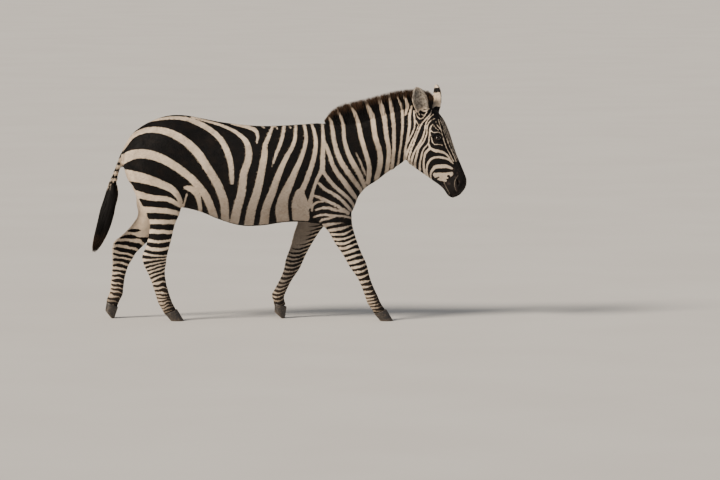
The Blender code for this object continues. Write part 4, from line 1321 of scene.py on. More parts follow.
@dataclass(frozen=True)
class Bands:
    """White rungs round one leg, each by its height at the leg's back, middle and front."""

    rungs: tuple[Triple, ...]  # from the top down
    white: Triple  # white's share of a band at the back, middle and front
    low_white: Triple  # the same near the foot
    change: Pair = (0.34, 0.22)  # the heights between which it changes

    def passed(self, across: Array, height: Array) -> tuple[Array, Array]:
        """Rungs passed from the top down to each place, and the spacing there.

        It runs evenly from one rung to the next, and a rung's height across the leg is the
        parabola through its three.

        Args:
            across: where each place is across the leg, from its back, -1, to its front, 1.
            height: the height of each place.

        Returns:
            The count, with its fraction, and the spacing.
        """
        lines = np.array(self.rungs)[:, :, None]
        back, middle, front = lines[:, 0], lines[:, 1], lines[:, 2]
        lines = middle + across * (front - back) / 2 + across**2 * ((front + back) / 2 - middle)
        first = np.maximum(lines[0] - lines[1], 0.006)
        count, spacing = np.clip((lines[0] - height) / first, -0.5, 0.0), first
        for index in range(len(lines) - 1):
            gap = np.maximum(lines[index] - lines[index + 1], 0.006)
            inside = (height <= lines[index]) & (height > lines[index] - gap)
            count = np.where(inside, index + (lines[index] - height) / gap, count)
            spacing = np.where(inside, gap, spacing)
        below = height <= lines[-1]
        return np.where(below, len(lines) - 1 + (lines[-1] - height) / 0.018, count), spacing

    def share(self, across: Array, height: Array) -> Array:
        """White's share of a band at each place."""
        knots = [-1.0, 0.0, 0.7]
        high, low = np.interp(across, knots, self.white), np.interp(across, knots, self.low_white)
        blend = smooth(-height, -self.change[0], -self.change[1])
        return high + (low - high) * blend


def even_rungs(start: float, end: float, steps: Pair, middle: float, front: float
               ) -> tuple[Triple, ...]:
    """Rungs from one height down to another, whose spacing runs from the first step to the second.

    Args:
        start: the first rung's height at the leg's back.
        end: the height that they stop above.
        steps: the spacing at the start and at the end.
        middle: how much higher a rung is at the leg's middle.
        front: and at its front.

    Returns:
        Each rung's three heights.
    """
    rows, height = [], start
    while height > end:
        rows.append((height, height + middle, height + front))
        height -= steps[1] + (steps[0] - steps[1]) * (height - end) / (start - end)
    return tuple(rows)


BANDS = {
    "fore_right": Bands((
        (0.600, 0.618, 0.632), (0.570, 0.580, 0.606), (0.543, 0.547, 0.580), (0.512, 0.517, 0.549),
        (0.484, 0.492, 0.520), (0.457, 0.465, 0.489), (0.424, 0.434, 0.455), (0.393, 0.403, 0.425),
        (0.362, 0.372, 0.393), (0.330, 0.338, 0.362), (0.301, 0.308, 0.332), (0.270, 0.277, 0.300),
        *even_rungs(0.238, 0.150, (0.032, 0.026), 0.005, 0.022),
        *even_rungs(0.150, 0.055, (0.021, 0.017), 0.001, 0.016)),
        (0.56, 0.46, 0.27), (0.60, 0.36, 0.02)),
    "fore_left": Bands(even_rungs(0.680, 0.060, (0.0290, 0.026), -0.012, 0.014),
                       (1.30, 0.78, 0.24), (0.46, 0.36, 0.20), (0.52, 0.36)),
    "hind_right": Bands((
        (0.624, 0.624, 0.620), (0.566, 0.562, 0.556), (0.512, 0.496, 0.508), (0.462, 0.446, 0.456),
        (0.423, 0.410, 0.412), (0.380, 0.387, 0.396), (0.345, 0.362, 0.378), (0.318, 0.340, 0.362),
        (0.294, 0.316, 0.340), (0.270, 0.290, 0.314), (0.247, 0.264, 0.276), (0.222, 0.238, 0.234),
        (0.194, 0.202, 0.200), (0.166, 0.171, 0.170), (0.143, 0.150, 0.152),
        *even_rungs(0.123, 0.045, (0.020, 0.018), 0.007, 0.020)),
        (0.44, 0.41, 0.34), (0.58, 0.42, 0.06)),
    "hind_left": Bands((
        (0.640, 0.640, 0.640), (0.590, 0.590, 0.580), (0.545, 0.548, 0.535), (0.506, 0.505, 0.475),
        (0.470, 0.462, 0.436), (0.436, 0.425, 0.400),
        *even_rungs(0.402, 0.060, (0.034, 0.026), -0.006, -0.022)),
        (0.50, 0.38, 0.28), (0.62, 0.32, 0.10)),
}


def leg_line(leg: Leg, height: Array) -> Array:
    """How far forward a leg's middle line is at each height."""
    joints = np.array(leg.joints)[::-1]
    return np.interp(height, joints[:, 2], joints[:, 0])


def leg_edges(leg: Leg, height: Array) -> tuple[Array, Array]:
    """How far forward a leg's front and back edges are at each height."""
    rows = leg.loft().rows(0.02)[::-1]
    return tuple(np.interp(height, np.maximum.accumulate(rows[:, k + 1]), rows[:, k]) for k in (0, 2))


@dataclass(frozen=True)
class Markings:
    """The coat's pattern, worked out for any places on the body."""

    far_wander: float = 0.020  # how much the left side differs from the right
    front_line: float = 0.0150  # spacing of the fine lines down the face
    spine: float = 0.0075  # half the breadth of the black line down the back
    belly: float = 0.050  # and of the one under the belly
    belly_top: Pair = (0.70, 0.76)  # the one under the belly ends between these heights
    wander: float = 0.004  # how far both lines' edges and the muzzle's stray
    cheek_thin: float = 0.0016  # how much thinner the cheek's strokes are drawn, on each side
    band_wander: tuple[tuple[float, float, int], ...] = (
        (0.005, 0.06, 21), (0.0018, 0.022, 31))  # how far bands stray, over what length, and a seed
    hind_wander: tuple[float, float, int] = (0.007, 0.032, 51)  # the same, added on low hind legs
    band_reach: float = 0.06  # how far a leg's bands hold beyond its edges
    dock_ring: float = 0.042  # spacing of the rings on the tail's dock

    def side_view(self, points: Array) -> Array:
        """Places as seen from the right side, slightly from above; the left side is mirrored.

        Args:
            points: places, one to a row.

        Returns:
            Places in the side view, along and up.
        """
        x, y, z = points.T
        left = smooth(y, 0.0, 0.05)
        right_fore, left_fore, right_hind, left_hind = (leg_line(leg, z) for leg in LEGS)
        low_fore = (1 - smooth(z, 0.70, 0.92)) * smooth(x, -0.25, 0.08) * (1 - smooth(x, 0.20, 0.46))
        low_hind = (1 - smooth(z, 0.62, 0.98)) * (1 - smooth(x, -0.62, -0.45))
        shift = (right_fore - left_fore) * low_fore + (right_hind - left_hind) * low_hind
        stray = np.stack([lattice_noise(points * [1, 0, 1], 0.14, 11),
                          lattice_noise(points * [1, 0, 1], 0.14, 12)], axis=1)
        level = z * math.cos(VIEW_RISE) - np.abs(y) * math.sin(VIEW_RISE)
        flat = np.stack([x + shift * left, level], axis=1)
        return flat + stray * (self.far_wander * left[:, None])

    def head_view(self, points: Array) -> tuple[Array, Array]:
        """Head places as the turned head's right side is seen, and unturned ones.

        Args:
            points: places, one to a row.

        Returns:
            Places in the side view, and places before the head's turn.
        """
        straight = turned(points, back=True)
        near = straight * np.array([1.0, 0.0, 1.0])
        near[:, 1] = -np.abs(straight[:, 1])
        seen = turned(near)
        level = seen[:, 2] * math.cos(VIEW_RISE) + seen[:, 1] * math.sin(VIEW_RISE)
        return np.stack([seen[:, 0], level], axis=1), straight

    def body(self, points: Array, normals: Array) -> Array:
        """Trunk and neck: the strokes, a black line down the back and one under the belly.

        Args:
            points: places, one to a row.
            normals: the way out of the skin at each place.

        Returns:
            How far inside the white each place is.
        """
        flat = self.side_view(points)
        value = inked(flat, BODY_STROKES + SHOULDER_STROKES + NECK_STROKES)
        x, y, z = points.T
        stray = self.wander * lattice_noise(points, 0.05, 5)
        spine = np.abs(y) - self.spine + stray
        on_back = smooth(normals[:, 2], 0.45, 0.75) * (1 - smooth(x, 0.20, 0.30)) * smooth(z, 1.05, 1.12)
        value = value * (1 - on_back) + np.minimum(value, spine) * on_back
        under = smooth(-normals[:, 2], 0.80, 0.93) * (1 - smooth(z, *self.belly_top))
        under = under * smooth(x, -0.50, -0.40) * (1 - smooth(x, 0.26, 0.34))
        value = value * (1 - under) + np.minimum(value, np.abs(y) - self.belly + 2 * stray) * under
        # The inner side of the thigh is plain white.
        thigh = smooth(-normals[:, 1] * np.sign(y), 0.15, 0.50) * smooth(z, 0.48, 0.55)
        thigh = thigh * (1 - smooth(z, 0.72, 0.90)) * (1 - smooth(x, -0.55, -0.45))
        return value + (0.02 - value) * thigh

    @staticmethod
    def face_front(points: Array, normals: Array) -> Array:
        """How much each place is on the front of the face, which its fine lines run down."""
        facing = turned_ways(normals, back=True) @ unit(np.array(FACE_FRONT_WAY))
        return smooth(facing, 0.88, 0.95) * smooth(turned(points, back=True)[:, 2], 0.97, 1.03)

    def head(self, points: Array) -> tuple[Array, Array]:
        """The sides of the face: cheek strokes, the last of the neck's, and the dark muzzle.

        Args:
            points: places, one to a row.

        Returns:
            How far inside the white each place is, and how much of the dark muzzle it has.
        """
        flat, straight = self.head_view(points)
        cheek = inked(flat, CHEEK_STROKES + NECK_STROKES[-2:], self.cheek_thin)
        for x, z, radius in SPOTS:
            cheek = np.minimum(cheek, np.hypot(flat[:, 0] - x, (flat[:, 1] - z) * 1.3) - radius)
        x, _, z = straight.T
        edge = np.interp(z, *zip(*MUZZLE_EDGE)) + self.wander * lattice_noise(straight, 0.03, 8)
        lips = inked(flat, LIP_LINES)
        dark = smooth(x - edge, -0.007, 0.007) * (1 - 0.30 * smooth(lips, -0.002, 0.002))
        return np.maximum(cheek, lips), dark

    def face_lines(self, points: Array) -> tuple[Array, Array, Array]:
        """The fine lines down the face: lines passed from its middle, spacing and bias."""
        _, y, z = turned(points, back=True).T
        spacing = self.front_line * (0.62 + 0.38 * smooth(z, 0.98, 1.16))
        crown = smooth(z, 1.27, 1.33)  # the black forehead under the forelock
        return np.abs(y) / spacing, spacing, -0.26 - 0.6 * crown

    def ear(self, ear: Ear, points: Array) -> tuple[Array, Array, Array]:
        """An ear's own stripes, where it is, and where its hollow is.

        Args:
            ear: which ear.
            points: places, one to a row.

        Returns:
            How far inside the white a place is, and its shares of the ear and of its hollow.
        """
        local = ear.local(points)
        along = (local[:, 2] + EAR_SUNK) / EAR_LENGTH
        share = smooth(local[:, 2], 0.030, 0.050) * ear.holds(local)
        middle = self.middle_radius(along)
        inside = middle - np.hypot(local[:, 0], local[:, 1] - middle)
        hollow = smooth(inside, 0.0, 0.0015) * smooth(along, 0.28, 0.40)
        value = np.interp(along, *zip(*EAR_STRIPES))
        value = value + 0.003 * lattice_noise(points, 0.012, 9)
        return value, share, hollow * share

    @staticmethod
    def middle_radius(along: Array) -> Array:
        """The radius that an ear's sheet is rolled to at each share of its length."""
        shape = eased(EAR_STATIONS[:, 1:], EAR_STATIONS[:, 0], np.clip(along, 0, 1))
        return EAR_HALF_WIDTH * shape[:, 0] / np.sin(np.radians(np.minimum(shape[:, 1], 90.0)))

    def bands(self, points: Array, normals: Array) -> tuple[Array, Array, Array, Array, Array]:
        """The legs' bands.

        Args:
            points: places, one to a row.
            normals: the way out of the skin at each place.

        Returns:
            Bands passed, the pitch, how much they hold here, a bias towards white, and how
            much painted shade greys a place on the plain inner side.
        """
        count = len(points)
        phase, pitch, share = np.zeros(count), np.full(count, 0.03), np.zeros(count)
        bias, grey = np.zeros(count), np.zeros(count)
        x, y, z = points.T
        stray = sum(far * lattice_noise(points, length, seed) for far, length, seed in self.band_wander)
        far, length, seed = self.hind_wander
        stray = stray + far * lattice_noise(points, length, seed) * smooth(-z, -0.38, -0.28) * (x < -0.5)
        for leg in LEGS:
            bands, side = BANDS[leg.name], leg.side
            front, back = leg_edges(leg, z)
            across = np.clip((2 * x - front - back) / np.maximum(front - back, 0.01), -1.3, 1.3)
            start = bands.rungs[0][1] + 0.016  # just above the top rung
            level = z * math.cos(VIEW_RISE) + y * math.sin(VIEW_RISE)
            near = (y * side > 0.012) & (x > back - self.band_reach) & (x < front + self.band_reach)
            hold = near * (1 - smooth(z, start - 0.02, start + 0.012))
            here = hold > 0
            passed, spacing = bands.passed(across, level + stray)
            inner = smooth(-normals[:, 1] * side, 0.15, 0.50)
            white = bands.share(across, z) - 0.5 + 0.12 * lattice_noise(points, 0.035, 41)
            if leg.name.startswith("hind"):
                plain = inner * smooth(across + 4 * (z - 0.55), -0.35, 0.15) * smooth(z, 0.46, 0.60)
                strip = (side > 0) * smooth(-across, 0.78, 0.92) * smooth(z, 0.12, 0.17)
                white = white + 0.9 * plain + 0.5 * strip + (side > 0) * smooth(z, 0.575, 0.60)
            else:
                plain = inner * smooth(z, 0.12, 0.22) * (1 - 0.6 * smooth(across, 0.3, 0.9))
                white = white + 0.12 * plain * smooth(z, 0.40, 0.50)
                if side > 0:  # the near side of this leg is plain, and its far side boldly banded
                    white = np.minimum(white, 0.02 + 2.0 * smooth(-normals[:, 1], -0.35, 0.20))
            phase = np.where(here, passed + 0.5, phase)
            pitch, share = np.where(here, spacing, pitch), np.where(here, hold, share)
            bias = np.where(here, white, bias)
            # Painted shade on the plain inner side: strong on the forelegs, fainter on the hind legs.
            grey = np.where(here, plain * (0.85 if leg.name.startswith("fore") else 0.35), grey)
        return phase, pitch, share, bias, grey

    def fields(self, points: Array, normals: Array) -> dict[str, Array]:
        """Everything that the coat's finish reads, for each place.

        stripe is how far inside the white a place is; phase, pitch, band and bias give the
        legs' bands, dark the muzzle and feet, grey the painted shade on the plain inner side of
        the legs, and hollow the inside of the ears.

        Args:
            points: places, one to a row.
            normals: the way out of the skin at each place.

        Returns:
            Each field's numbers, by its name.
        """
        x, y, z = points.T
        on_head = smooth(past_throat(x, z), -0.012, 0.022) * smooth(z, *CHIN_HEIGHTS)
        stripe, dark = self.body(points, normals), np.zeros(len(points))
        part = on_head > 0
        face, muzzle = self.head(points[part])
        stripe[part] = stripe[part] * (1 - on_head[part]) + face * on_head[part]
        dark[part] = muzzle * on_head[part]
        hollow = np.zeros(len(points))
        for ear in EARS:
            value, share, inside = self.ear(ear, points)
            stripe = stripe * (1 - share) + value * share
            hollow = np.maximum(hollow, inside)
        on_dock = (1 - smooth(x, -1.012, -0.996)) * smooth(z, 0.76, 0.80)
        wave = np.abs((z / self.dock_ring + 6 * np.abs(y)) % 1.0 - 0.5)
        dock = (0.21 - wave) * self.dock_ring
        stripe = stripe * (1 - on_dock) + dock * on_dock
        phase, pitch, share, bias, grey = self.bands(points, normals)
        front = on_head * self.face_front(points, normals) * (hollow < 0.01)
        phase, pitch, bias = (
            np.where(front > 0, line, band)
            for line, band in zip(self.face_lines(points), (phase, pitch, bias)))
        share = np.maximum(share, front)
        stripe = np.where(share > 0, np.clip(stripe, -0.004, 0.004), stripe)
        foot = np.zeros(len(points))
        for leg in LEGS:
            place = np.array(leg.joints[-1])
            near = np.linalg.norm(points - place, axis=1)
            foot = np.maximum(foot, 1 - smooth(near, 0.030, 0.065))
        return {"stripe": stripe, "phase": phase, "pitch": pitch, "band": share, "bias": bias,
                "dark": np.maximum(dark, 0.75 * foot), "grey": grey, "hollow": hollow}


# ---------------------------------------------------------------- finishes
class Graph:
    """A small helper that adds nodes to a material and joins them."""

    def __init__(self, name: str) -> None:
        """A new material with a Principled shader."""
        self.material = bpy.data.materials.new(name)
        self.material.use_nodes = True
        self.nodes = self.material.node_tree.nodes
        self.links = self.material.node_tree.links

    def join(self, value: object, socket: Socket) -> None:
        """Links a socket, or sets a plain number or colour.

        Args:
            value: a socket, a number or a colour.
            socket: the input that takes it.
        """
        if isinstance(value, bpy.types.NodeSocket):
            self.links.new(value, socket)
        elif isinstance(value, tuple) and socket.type == "RGBA":
            socket.default_value = (*value, 1.0)
        else:
            socket.default_value = value

    def node(self, kind: str, **values: object) -> bpy.types.Node:
        """A new node of this kind, with the inputs that are named joined or set."""
        made = self.nodes.new(f"ShaderNode{kind}")
        for name, value in values.items():
            self.join(value, made.inputs[name])
        return made

    def finish(self, **values: object) -> bpy.types.Material:
        """The material, with its shader's inputs set; a name's spaces are written as underlines."""
        for name, value in values.items():
            self.join(value, self.nodes["Principled BSDF"].inputs[name.replace("_", " ")])
        return self.material

    def attribute(self, name: str, output: str = "Fac") -> Socket:
        """A number that the mesh carries at each point, or by the output Vector a vector."""
        node = self.node("Attribute")
        node.attribute_name = name
        return node.outputs[output]

    def places(self) -> Socket:
        """The piece's own coordinates."""
        return self.node("TexCoord").outputs["Object"]

    def math(self, kind: str, *values: object, clamp: bool = False) -> Socket:
        """One step of arithmetic.

        Args:
            kind: which operation.
            values: what it works on, in order.
            clamp: whether the answer is kept between 0 and 1.

        Returns:
            The answer.
        """
        node = self.node("Math")
        node.operation = kind
        node.use_clamp = clamp
        for value, socket in zip(values, node.inputs):
            self.join(value, socket)
        return node.outputs[0]

    def times(self, first: object, second: object) -> Socket:
        """Two numbers multiplied."""
        return self.math("MULTIPLY", first, second)

    def centred(self, value: object, times: float, added: object) -> Socket:
        """A number from 0 to 1 taken about its middle, times another, added to a third."""
        return self.math("MULTIPLY_ADD", self.math("SUBTRACT", value, 0.5), times, added)

    def ramp(self, value: object, low: float, high: float, start: float = 0.0, end: float = 1.0
             ) -> Socket:
        """An S-shaped step of a value from low to high, giving start to end.

        Args:
            value: what steps.
            low: where the step starts.
            high: where it ends.
            start: the answer below low.
            end: the answer above high.

        Returns:
            The answer.
        """
        node = self.node("MapRange")
        node.interpolation_type = "SMOOTHSTEP"
        for socket, number in zip(list(node.inputs)[:5], (value, low, high, start, end)):
            self.join(number, socket)
        return node.outputs[0]

    def mix(self, share: object, first: object, second: object, how: str = "MIX") -> Socket:
        """Two colours mixed by a share.

        Args:
            share: how much of the second.
            first: a colour.
            second: another.
            how: how they are blended.

        Returns:
            The mixed colour.
        """
        node = self.node("Mix")
        node.data_type = "RGBA"
        node.blend_type = how
        self.join(share, node.inputs["Factor"])
        for colour, socket in zip((first, second), [s for s in node.inputs if s.type == "RGBA"]):
            self.join(colour, socket)
        return [socket for socket in node.outputs if socket.type == "RGBA"][0]

    def tinted(self, shade: object, light: Socket) -> Socket:
        """A colour made lighter or darker by a number."""
        tint = self.node("CombineColor")
        for socket in tint.inputs[:3]:
            self.join(light, socket)
        return self.mix(1.0, shade, tint.outputs[0], "MULTIPLY")

    def noise(self, places: object, fineness: float, detail: float = 2.0, rough: float = 0.5) -> Socket:
        """Noise of this fineness, from 0 to 1."""
        values = {"Vector": places, "Scale": fineness, "Detail": detail, "Roughness": rough}
        return self.node("TexNoise", **values).outputs["Fac"]

    def patches(self, places: object, fineness: float, detail: float, low: float, high: float,
                start: float = 0.0, end: float = 1.0, rough: float = 0.5) -> Socket:
        """Soft patches: `start` where noise of this fineness is under low and `end` over high."""
        return self.ramp(self.noise(places, fineness, detail, rough), low, high, start, end)

    def streaks(self, places: object, fineness: Triple, detail: float = 2.0) -> Socket:
        """Noise that is drawn out, by how many streaks a metre holds along each axis."""
        return self.noise(self.node("Mapping", Vector=places, Scale=fineness).outputs[0], 1.0, detail)

    def bump(self, height: object, distance: float, strength: float = 1.0, under: object = None
             ) -> Socket:
        """A raised surface from a height between 0 and 1, worth this distance.

        Args:
            height: the height.
            distance: what a height of 1 is worth in metres.
            strength: how much of it shows.
            under: a coarser bump that this lies on.

        Returns:
            The normal.
        """
        node = self.node("Bump", Strength=strength, Distance=distance, Height=height)
        if under is not None:
            self.join(under, node.inputs["Normal"])
        return node.outputs[0]


@dataclass(frozen=True)
class CoatColours:
    """The coat's tones."""

    white: Colour = (0.82, 0.67, 0.51)
    # the white's cool tone in random patches, and also the painted shade low on the barrel and forelegs
    white_cool_and_shade: Colour = (0.40, 0.335, 0.28)
    black: Colour = (0.0060, 0.0055, 0.0058)
    black_brown: Colour = (0.0120, 0.0085, 0.0070)
    muzzle: Colour = (0.0090, 0.0075, 0.0072)
    muzzle_skin: Colour = (0.060, 0.042, 0.036)
    # the painted shade that greys the white on the plain inner side of the legs
    grey: Colour = (0.078, 0.071, 0.068)
    dust: Colour = (0.25, 0.175, 0.112)
    ear_inside: Colour = (0.30, 0.27, 0.235)
    ear_shade: Colour = (0.085, 0.075, 0.066)


@dataclass(frozen=True)
class CoatFinish:
    """Short sleek hair with the animal's markings, for the skin and the tufts alike."""

    colours: CoatColours = CoatColours()
    edge: float = 0.0016  # half the width of a stripe's soft edge
    fray: float = 0.0034  # how far single hairs carry it
    hairs: Triple = (420.0, 60.0, 1.0)  # streaks of tone in a metre, across and along the hair
    locks: Triple = (150.0, 26.0, 1.0)  # raised locks in a metre
    fine: Triple = (900.0, 70.0, 1.0)  # raised hairs in a metre
    cooled: float = 0.40  # how much patches of the white are cooled
    shaded: float = 0.90  # how much painted shade cools and darkens the white low on the barrel and forelegs
    shaded_below: Pair = (1.22, 0.76)  # the heights between which that comes in
    shaded_above: Pair = (0.54, 0.64)  # and those between which it goes again
    shaded_ahead: Pair = (-0.60, -0.36)  # and how far forward it comes in
    dust: float = 0.35  # how much patches of the white are dusty
    foot: Pair = (0.42, 0.02)  # the heights between which dust comes in on the legs
    foot_dust: Pair = (0.55, 0.10)  # how much of it there is at the foot, on white and on black
    leg_shade_strength: float = 0.90  # how much painted shade greys the white inside the legs
    rough: Pair = (0.58, 0.74)  # the smoothest and the roughest of the skin
    shine: float = 0.12

    def inside(self, graph: Graph, places: Socket, hairs: Socket) -> Socket:
        """How far inside the white a place is, by its stripe or its band, with a frayed edge.

        Args:
            graph: the material that nodes are added to.
            places: the piece's own coordinates.
            hairs: the streaks that fray the edge.

        Returns:
            A distance in metres.
        """
        passed = graph.math("FRACT", graph.attribute("phase"))
        wave = graph.math("ABSOLUTE", graph.math("SUBTRACT", passed, 0.5))
        reach = graph.math("MULTIPLY_ADD", graph.attribute("bias"), 0.5, 0.25)
        band = graph.times(graph.math("SUBTRACT", reach, wave), graph.attribute("pitch"))
        share = graph.attribute("band")
        inside = graph.times(graph.attribute("stripe"), graph.math("SUBTRACT", 1.0, share))
        inside = graph.math("MULTIPLY_ADD", band, share, inside)
        inside = graph.centred(hairs, 2 * self.fray, inside)
        return graph.centred(graph.noise(places, 60.0), 2 * self.fray, inside)

    def pale(self, graph: Graph, places: Socket, x: Socket, z: Socket, foot: Socket) -> Socket:
        """The white: cool in random patches, cooled and darkened by painted shade low on the barrel, dusty
        at the feet, and greyed by painted shade inside the legs.

        Args:
            graph: the material that nodes are added to.
            places: the piece's own coordinates.
            x: how far forward.
            z: how high.
            foot: how near the foot, from 0 to 1.

        Returns:
            The white's colour.
        """
        tones = self.colours
        cool = graph.times(graph.patches(places, 9.0, 3.0, 0.38, 0.72), self.cooled)
        pale = graph.mix(cool, tones.white, tones.white_cool_and_shade)
        # Painted shade: the white turns towards white_cool_and_shade low on the barrel and forelegs.
        low = graph.times(graph.ramp(z, *self.shaded_below), graph.ramp(z, *self.shaded_above))
        low = graph.times(low, graph.ramp(x, *self.shaded_ahead))
        pale = graph.mix(graph.times(low, self.shaded), pale, tones.white_cool_and_shade)
        dusty = graph.times(graph.patches(places, 16.0, 4.0, 0.45, 0.75, rough=0.6), self.dust)
        dusty = graph.math("MAXIMUM", dusty, graph.times(foot, self.foot_dust[0]))
        pale = graph.mix(dusty, pale, tones.dust)
        # Painted shade greys the white on the plain inner side of the legs.
        return graph.mix(graph.times(graph.attribute("grey"), self.leg_shade_strength), pale, tones.grey)

    def colour(self, graph: Graph, places: Socket) -> Socket:
        """The coat's colour from the marking fields.

        Args:
            graph: the material that nodes are added to.
            places: the piece's own coordinates.

        Returns:
            The base colour.
        """
        tones, parts = self.colours, graph.node("SeparateXYZ", Vector=places).outputs
        foot = graph.ramp(parts["Z"], *self.foot)
        hairs = graph.streaks(graph.attribute("lay", "Vector"), self.hairs)
        ink = graph.mix(graph.patches(places, 22.0, 3.0, 0.40, 0.80), tones.black, tones.black_brown)
        ink = graph.mix(graph.times(foot, self.foot_dust[1]), ink, tones.dust)
        pale = self.pale(graph, places, parts["X"], parts["Z"], foot)
        white = graph.ramp(self.inside(graph, places, hairs), -self.edge, self.edge)
        shade = graph.mix(white, ink, pale)
        nose = graph.mix(graph.patches(places, 34.0, 3.0, 0.50, 0.80), tones.muzzle, tones.muzzle_skin)
        shade = graph.mix(graph.attribute("dark"), shade, nose)
        speckle = graph.patches(places, 75.0, 3.0, 0.42, 0.62)
        inner = graph.mix(speckle, tones.ear_inside, tones.ear_shade)
        shade = graph.mix(graph.times(graph.attribute("hollow"), 0.9), shade, inner)
        return graph.tinted(shade, graph.ramp(hairs, 0.2, 0.8, 0.80, 1.16))

    def skin(self) -> bpy.types.Material:
        """The finish of the skin: colour, lie of the hair as bump, soft sheen.

        Returns:
            The material.
        """
        graph = Graph("coat_skin")
        places, lay = graph.places(), graph.attribute("lay", "Vector")
        folds = graph.bump(graph.noise(places, 26.0), 0.0022, 0.5)
        locks = graph.bump(graph.streaks(lay, self.locks, 3.0), 0.0016, 0.6, folds)
        fine = graph.bump(graph.streaks(lay, self.fine), 0.0006, 0.7, locks)
        return graph.finish(
            Base_Color=self.colour(graph, places), Normal=fine, Specular_IOR_Level=self.shine,
            Roughness=graph.patches(places, 12.0, 2.0, 0.3, 0.7, *self.rough))

    def tufts(self) -> bpy.types.Material:
        """The finish of short tufts: the skin's colours, with painted shade making them a little darker
        near the root and lighter at the tip.
        """
        graph = Graph("coat_tufts")
        # Painted shade along each tuft: darker towards the root and lighter at the tip.
        tip = graph.ramp(graph.attribute("tip"), 0.0, 1.0, 0.96, 1.08)
        shade = graph.tinted(self.colour(graph, graph.places()), tip)
        return graph.finish(Base_Color=shade, Roughness=0.62, Specular_IOR_Level=self.shine)


# ---------------------------------------------------------------- the lie and unwrap of the skin
class Part(Enum):
    """Parts of the skin that are unwrapped each in its own rectangle: left, low, wide, high."""

    TRUNK = (0.00, 0.00, 0.48, 0.66)
    NECK = (0.50, 0.00, 0.48, 0.30)
    HEAD = (0.50, 0.32, 0.34, 0.34)
    FORE_RIGHT = (0.00, 0.68, 0.15, 0.30)
    FORE_LEFT = (0.17, 0.68, 0.15, 0.30)
    HIND_RIGHT = (0.34, 0.68, 0.15, 0.30)
    HIND_LEFT = (0.51, 0.68, 0.15, 0.30)
    EAR_LEFT = (0.68, 0.68, 0.14, 0.14)
    EAR_RIGHT = (0.68, 0.84, 0.14, 0.14)
    DOCK = (0.86, 0.32, 0.12, 0.34)

    @property
    def number(self) -> int:
        """Its place among the parts, from zero."""
        return list(Part).index(self)


LEG_PARTS = (Part.FORE_RIGHT, Part.FORE_LEFT, Part.HIND_RIGHT, Part.HIND_LEFT)  # as in LEGS
EAR_PARTS = (Part.EAR_LEFT, Part.EAR_RIGHT)  # as in EARS
MIDDLE_LINES = {  # both ends of the line that each of these is unwrapped round
    Part.TRUNK: ((-1.00, 0.0, 0.95), (0.55, 0.0, 0.95)),
    Part.NECK: ((0.38, 0.0, 0.98), (0.88, 0.0, 1.26)),
    Part.HEAD: ((0.88, 0.0, 1.24), (1.17, 0.0, 0.80)),
}


